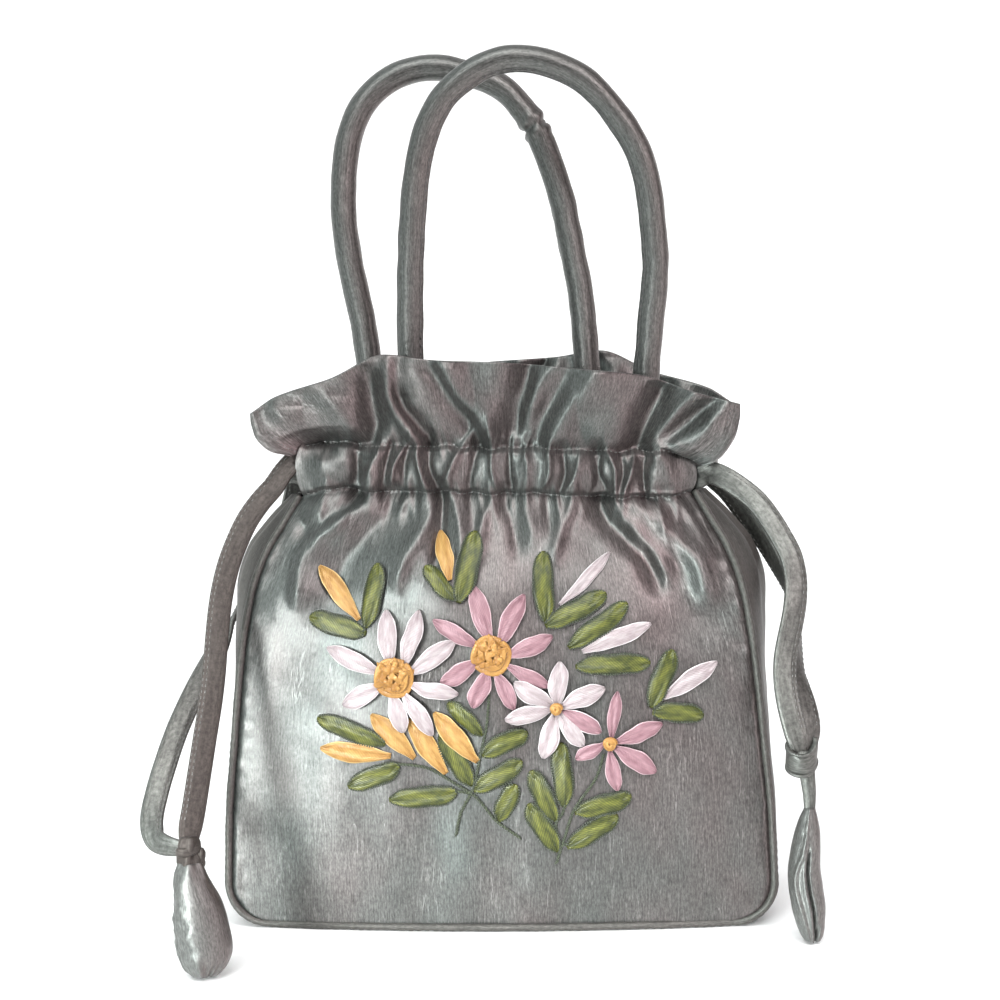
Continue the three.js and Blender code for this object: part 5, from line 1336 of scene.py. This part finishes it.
def ribbon_stitch(build, tip, base, wide, over, widths, seed, index=0, crown=0.75, edge_highlight_index=None):
    """A flat strip that comes up gathered at its base, spreads, and dives back at its tip."""
    tip, base = on_chart(tip), on_chart(base)
    rng = np.random.default_rng(seed)
    length = np.linalg.norm(tip - base)
    way = (tip - base) / length
    away = np.array([-way[1], way[0]])
    rows, columns = 34, 23
    s = np.linspace(0, 1, rows)[:, None]
    t = np.linspace(-1, 1, columns)[None, :]
    half = along(widths, s) * wide * RIBBON_WIDTH / 2
    bend = rng.uniform(-0.5, 0.5) * np.sin(math.pi * s) + rng.uniform(-0.3, 0.3) * np.sin(2 * math.pi * s)
    skew = rng.uniform(-0.16, 0.16)
    reached = s * length + skew * t * half * np.sin(math.pi * s)
    wavy = 1 + 0.05 * np.sin(s * rng.uniform(8, 15) + rng.uniform(0, 6)) * np.sign(t)
    edge = half * t * np.where(np.abs(t) > 0.5, 1 + (wavy - 1) * (2 * np.abs(t) - 1), 1) + bend
    x = base[0] + way[0] * reached + away[0] * edge
    z = base[1] + way[1] * reached + away[1] * edge
    under = taut_front(x, z)
    arch = np.sin(math.pi * s) ** 0.5
    flat = 1 - np.abs(t) ** 3.5
    tilt = rng.uniform(-0.3, 0.3)
    lift = 0.3 + over * LAYER * (0.35 + 0.65 * arch) + arch * (crown * (0.45 + 0.55 * flat) + tilt * t)
    # small gathers that run out from the base, and from the tip
    for _ in range(5):
        at = rng.uniform(-0.8, 0.8)
        sink, reach = rng.uniform(0.1, 0.34), rng.uniform(0.2, 0.42)
        lift = lift - sink * bump(t - at * (0.6 + 0.7 * s), 0.1) * bump(s, reach)
    for _ in range(3):
        at = rng.uniform(-0.7, 0.7)
        sink, reach = rng.uniform(0.1, 0.25), rng.uniform(0.12, 0.3)
        lift = lift - sink * bump(t - at * (1.6 - s), 0.1) * bump(s - 1, reach)
    dimple = s - rng.uniform(0.88, 0.94)
    off = rng.uniform(-0.25, 0.25)
    lift = lift - 0.5 * bump(t - off, 0.24) * bump(dimple, 0.06)
    lift = lift + 0.32 * bump(np.abs(t - off) - 0.5, 0.22) * bump(dimple, 0.08)
    lift = lift + 0.16 * np.sin(t * rng.uniform(3, 6) + s * rng.uniform(-3, 3) + rng.uniform(0, 6)) * arch
    lift = np.maximum(lift, 0.12)
    thick = 0.3
    top = np.stack([x, under - lift - thick, z], axis=-1)
    bottom = np.stack([x, under - lift + 0.12 * flat, z], axis=-1)
    uvs = np.stack(np.broadcast_arrays(half * t, s * length + 0 * t), axis=-1)
    flip = np.cross(np.append(way, 0), np.append(away, 0))[2] < 0
    indices = [index] * (2 * (rows - 1) * (columns - 1) + 2 * (rows + columns - 2))
    # the outermost faces along both edges get the lighter edge material: painted highlight
    if edge_highlight_index is not None:
        for row in range(rows - 1):
            indices[row * (columns - 1)] = indices[row * (columns - 1) + columns - 2] = edge_highlight_index
    build.add_cloth(top, bottom, uvs, flip=flip, index=indices)
    return top


def edge_beads(build, top, index, step=0.95, radius=0.34):
    """Small thread loops that hold a leaf's edge down."""
    for edge, inner in ((top[:, 0], top[:, 3]), (top[:, -1], top[:, -4])):
        marks = spaced(np.hstack([edge, inner]), max(4, int(run_of(edge) / step)))[1:-1]
        way = unit(marks[:, 3:] - marks[:, :3])
        starts = marks[:, :3] - way * 0.45 + (0, 0.2, 0)
        spindles(build, starts, marks[:, :3] + way * 0.55 + (0, -0.12, 0), radius, index, arch=0.3)


def stem(build, points, index):
    """A rope of slanted, overlapping stitches."""
    places = np.array([on_chart(p) for p in points])
    line = curve_through(np.stack([places[:, 0], 0 * places[:, 0], places[:, 1]], axis=1), 200)
    marks = spaced(line, max(4, int(run_of(line) / 1.25)))
    way = unit(np.gradient(marks, axis=0))
    aside = np.stack([-way[:, 2], way[:, 1], way[:, 0]], axis=1)
    starts = marks[:-1] - way[:-1] * 0.35 + aside[:-1] * 0.55
    ends = marks[1:] + way[1:] * 0.35 - aside[1:] * 0.55
    for ends_of in (starts, ends):
        for point in ends_of:
            point[1] = cloth_front(point[0], point[2]) - 0.45
    spindles(build, starts, ends, 0.46, index, arch=0.3)


def centre_loops(build, centre, radius, top, index, seed):
    """A woven knot: arcs at its lower side, bands crossing over its middle, loose loops round it."""
    rng = np.random.default_rng(seed)
    cx, cz = on_chart(centre)
    radius = radius * CHART_UNIT
    base = cloth_front(cx, cz)

    def band(px, pz, lift, width, thick):
        out = np.clip(np.hypot(px, pz) / radius, 0, 1.3)
        line = np.stack([cx + px, base - top * (1 - 0.45 * out ** 3) - lift, cz + pz], axis=1)
        build.add(*sweep(line, facing_front(line), width, thick, 14, squareness=2.8), index)

    # a pad below, two arcs round the lower right, then the crossing bands
    angle = np.linspace(0, 2 * math.pi, 40)
    for share in (0.2, 0.5, 0.76):
        band(share * radius * np.cos(angle), share * radius * np.sin(angle), -1.1, 3.0, 1.6)
    for share, start, end, lift in ((0.86, -2.6, 0.9, -0.2), (0.6, -2.3, 0.5, 0.15), (0.9, 1.0, 3.6, -0.35)):
        turn = np.linspace(start, end, 36)
        wobble = share * (1 + 0.04 * np.sin(turn * 4 + seed))
        band(radius * wobble * np.cos(turn), radius * wobble * np.sin(turn), lift + 0.2 * np.sin(turn * 3),
             2.7, 0.95)
    span = np.linspace(-1, 1, 30)
    lie = 0.32 if seed % 2 else -0.5

    def across(px, pz, lift, width):
        band(px * math.cos(lie) - pz * math.sin(lie), px * math.sin(lie) + pz * math.cos(lie), lift, width,
             0.9)

    for k, (place, reach) in enumerate(((-0.52, 0.5), (-0.14, 0.72), (0.26, 0.62))):
        lean = rng.uniform(-0.22, 0.22)
        weave = 0.45 * np.sin(span * 5.5 + k * math.pi)
        up = 0.12 * radius + span * reach * radius
        side = place * radius + lean * up
        across(side, up, 0.55 + weave, rng.uniform(1.9, 2.6))
    for k, (place, reach) in enumerate(((0.5, 0.55), (0.12, 0.7), (-0.3, 0.6))):
        lean = rng.uniform(-0.2, 0.2)
        weave = 0.45 * np.sin(span * 5.5 + (k + 1) * math.pi)
        side = -0.1 * radius + span * reach * radius
        up = place * radius + lean * side
        across(side, up, 0.5 + weave, rng.uniform(1.7, 2.4))
    for k in range(4):
        at = 0.6 + 0.95 * k + rng.uniform(-0.2, 0.2)
        reach = rng.uniform(1.05, 1.4)
        out = np.linspace(0.35, reach, 24)
        px = radius * out
        pz = 0.5 * np.sin(out * 5 + k)
        taper = smooth([0.35, 0.8, reach], [1.0, 1.0, 0.2], out)
        depth = base - top * (1 - 0.5 * np.clip(out, 0, 1.2) ** 3) - 0.4
        line = np.stack([cx + px * math.cos(at) - pz * math.sin(at), depth,
                         cz + px * math.sin(at) + pz * math.cos(at)], axis=1)
        build.add(*sweep(line, facing_front(line), 2.6, 0.9, 14, squareness=2.4, scale=taper), index)


def small_knot(build, centre, radius, top, index):
    """A thread knot of two turns with a top turn over them."""
    cx, cz = on_chart(centre)
    radius = radius * CHART_UNIT
    base = cloth_front(cx, cz)
    angle = np.linspace(0, 6.6 * math.pi, 150)
    spiral = radius * (0.72 - 0.16 * angle / (2 * math.pi)) + 0.1 * np.sin(angle * 3)
    line = np.stack([cx + spiral * np.cos(angle), base - top - 0.35 * angle / (2 * math.pi),
                     cz + spiral * np.sin(angle)], axis=1)
    build.add(*sweep(line, facing_front(line), 1.35, 1.2, 12), index)


for order, (name, flower) in enumerate(FLOWERS.items()):
    build = Build()
    other = flower.get("other", {})
    for k, (tip, base, wide) in enumerate(flower["petals"]):
        ribbon_stitch(build, tip, base, wide * 0.97, flower["over"] + 0.25 * (k % 2), PETAL_WIDTH,
                      100 * order + k, index=1 if k in other else 0, crown=0.8, edge_highlight_index=3)
    height = flower["over"] * LAYER + 2.0
    if flower["radius"] > 5:
        centre_loops(build, flower["centre"], flower["radius"], height, 2, 200 + order)
    else:
        small_knot(build, flower["centre"], flower["radius"], height - 0.4, 2)
    made = build.piece(name + "_ribbon", [flower["ribbon"], PINK, GOLD, EDGE_HIGHLIGHTS[flower["ribbon"]]])
    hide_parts(name)
for order, (name, (tip, base, wide, over)) in enumerate(LOOSE.items()):
    build = Build()
    ribbon_stitch(build, tip, base, wide, over, PETAL_WIDTH, 300 + order, crown=0.85, edge_highlight_index=1)
    ribbon = YELLOW if name.startswith("yellow") else WHITE
    made = build.piece(name + "_ribbon", [ribbon, EDGE_HIGHLIGHTS[ribbon]])
    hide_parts(name)
for order, (name, (stitches, stems)) in enumerate(LEAVES.items()):
    build = Build()
    for k, (tip, base, wide) in enumerate(stitches):
        top = ribbon_stitch(build, tip, base, wide, 0, LEAF_WIDTH, 400 + 20 * order + k, crown=1.15)
        edge_beads(build, top, 1)
    for points in stems:
        stem(build, points, 1)
    made = build.piece(name + "_ribbon", [LEAF, STEM_THREAD])
    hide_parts(name)


# Plain floor, soft studio light
def make_floor():
    material, tree, shader = clear_nodes("floor")
    place = node(tree, "ShaderNodeTexCoord").outputs["Object"]
    grain = node(tree, "ShaderNodeTexNoise", Scale=3.0, Detail=4.0)
    tree.links.new(place, grain.inputs["Vector"])
    tree.links.new(ramp(tree, grain.outputs["Fac"], [(0.3, 0.93), (0.7, 0.95)]), shader.inputs["Base Color"])
    shader.inputs["Roughness"].default_value = 0.85
    # flat, then a quarter turn up to a wall behind
    quarter = np.linspace(0, math.pi / 2, 16)[1:]
    profile = [(-2.2, 0.0), (0.9, 0.0)]
    profile += [(0.9 + 0.5 * math.sin(a), 0.5 - 0.5 * math.cos(a)) for a in quarter]
    profile += [(1.4, 2.4)]
    points = [(x, y, z) for y, z in profile for x in (-3.2, 3.2)]
    mesh = bpy.data.meshes.new("floor")
    mesh.from_pydata(points, [], [(2 * i, 2 * i + 1, 2 * i + 3, 2 * i + 2) for i in range(len(profile) - 1)])
    mesh.polygons.foreach_set("use_smooth", np.ones(len(mesh.polygons), bool))
    mesh.materials.append(material)
    floor = bpy.data.objects.new("floor", mesh)
    bpy.context.scene.collection.objects.link(floor)


def area_light(name, place, aim, size, power, colour, spread):
    data = bpy.data.lights.new(name, "AREA")
    data.shape = "RECTANGLE"
    data.size, data.size_y = size
    data.energy = power
    data.color = colour
    data.spread = math.radians(spread)
    light = bpy.data.objects.new(name, data)
    bpy.context.scene.collection.objects.link(light)
    way = Vector(aim) - Vector(place)
    light.matrix_world = Matrix.Translation(Vector(place)) @ way.to_track_quat("-Z", "Y").to_matrix().to_4x4()


# Name, place, what it points at, width and height, power, colour and spread in degrees
AREA_LIGHTS = [
    ("key", (-0.58, -0.9, 0.15), (-0.11, -0.04, -0.01), (0.6, 0.3), 1.05, (0.95, 1.0, 1.0), 27),
    ("upper_right", (0.55, -0.7, 0.75), (0.02, 0, 0.15), (0.16, 0.4), 3.4, (1.0, 0.94, 0.96), 180),
    ("side_left", (-1.1, -0.4, 0.4), (0, 0, 0.15), (0.12, 0.7), 0.4, (0.93, 1.0, 1.0), 180),
    ("side_right", (1.1, -0.45, 0.4), (0, 0, 0.16), (0.07, 0.6), 1.9, (1.0, 0.95, 0.97), 180),
]


def make_lights():
    """A bright sky, a soft sun and narrow lights at the sides, so that the satin has lights and darks."""
    bpy.context.scene.view_settings.view_transform = "Standard"
    world = bpy.data.worlds.new("studio")
    bpy.context.scene.world = world
    world.use_nodes = True
    tree = world.node_tree
    way = node(tree, "ShaderNodeTexCoord").outputs["Generated"]
    parts = node(tree, "ShaderNodeSeparateXYZ")
    tree.links.new(way, parts.inputs["Vector"])
    lean = node(tree, "ShaderNodeMath", operation="MULTIPLY_ADD")
    tree.links.new(parts.outputs["X"], lean.inputs[0])
    lean.inputs[1].default_value = -0.5
    tree.links.new(parts.outputs["Z"], lean.inputs[2])
    sky = ramp(tree, lean.outputs["Value"],
               [(0.05, (0.1, 0.095, 0.09)), (0.45, (0.3, 0.31, 0.31)), (0.85, (1.1, 1.15, 1.15))])
    background = tree.nodes["Background"]
    tree.links.new(sky, background.inputs["Color"])
    background.inputs["Strength"].default_value = 0.8
    sun = bpy.data.lights.new("sun", "SUN")
    sun.energy = 2.4
    sun.angle = math.radians(40)
    light = bpy.data.objects.new("sun", sun)
    light.rotation_euler = (math.radians(38), math.radians(-4), 0)
    bpy.context.scene.collection.objects.link(light)
    for lamp in AREA_LIGHTS:
        area_light(*lamp)


make_floor()
make_lights()
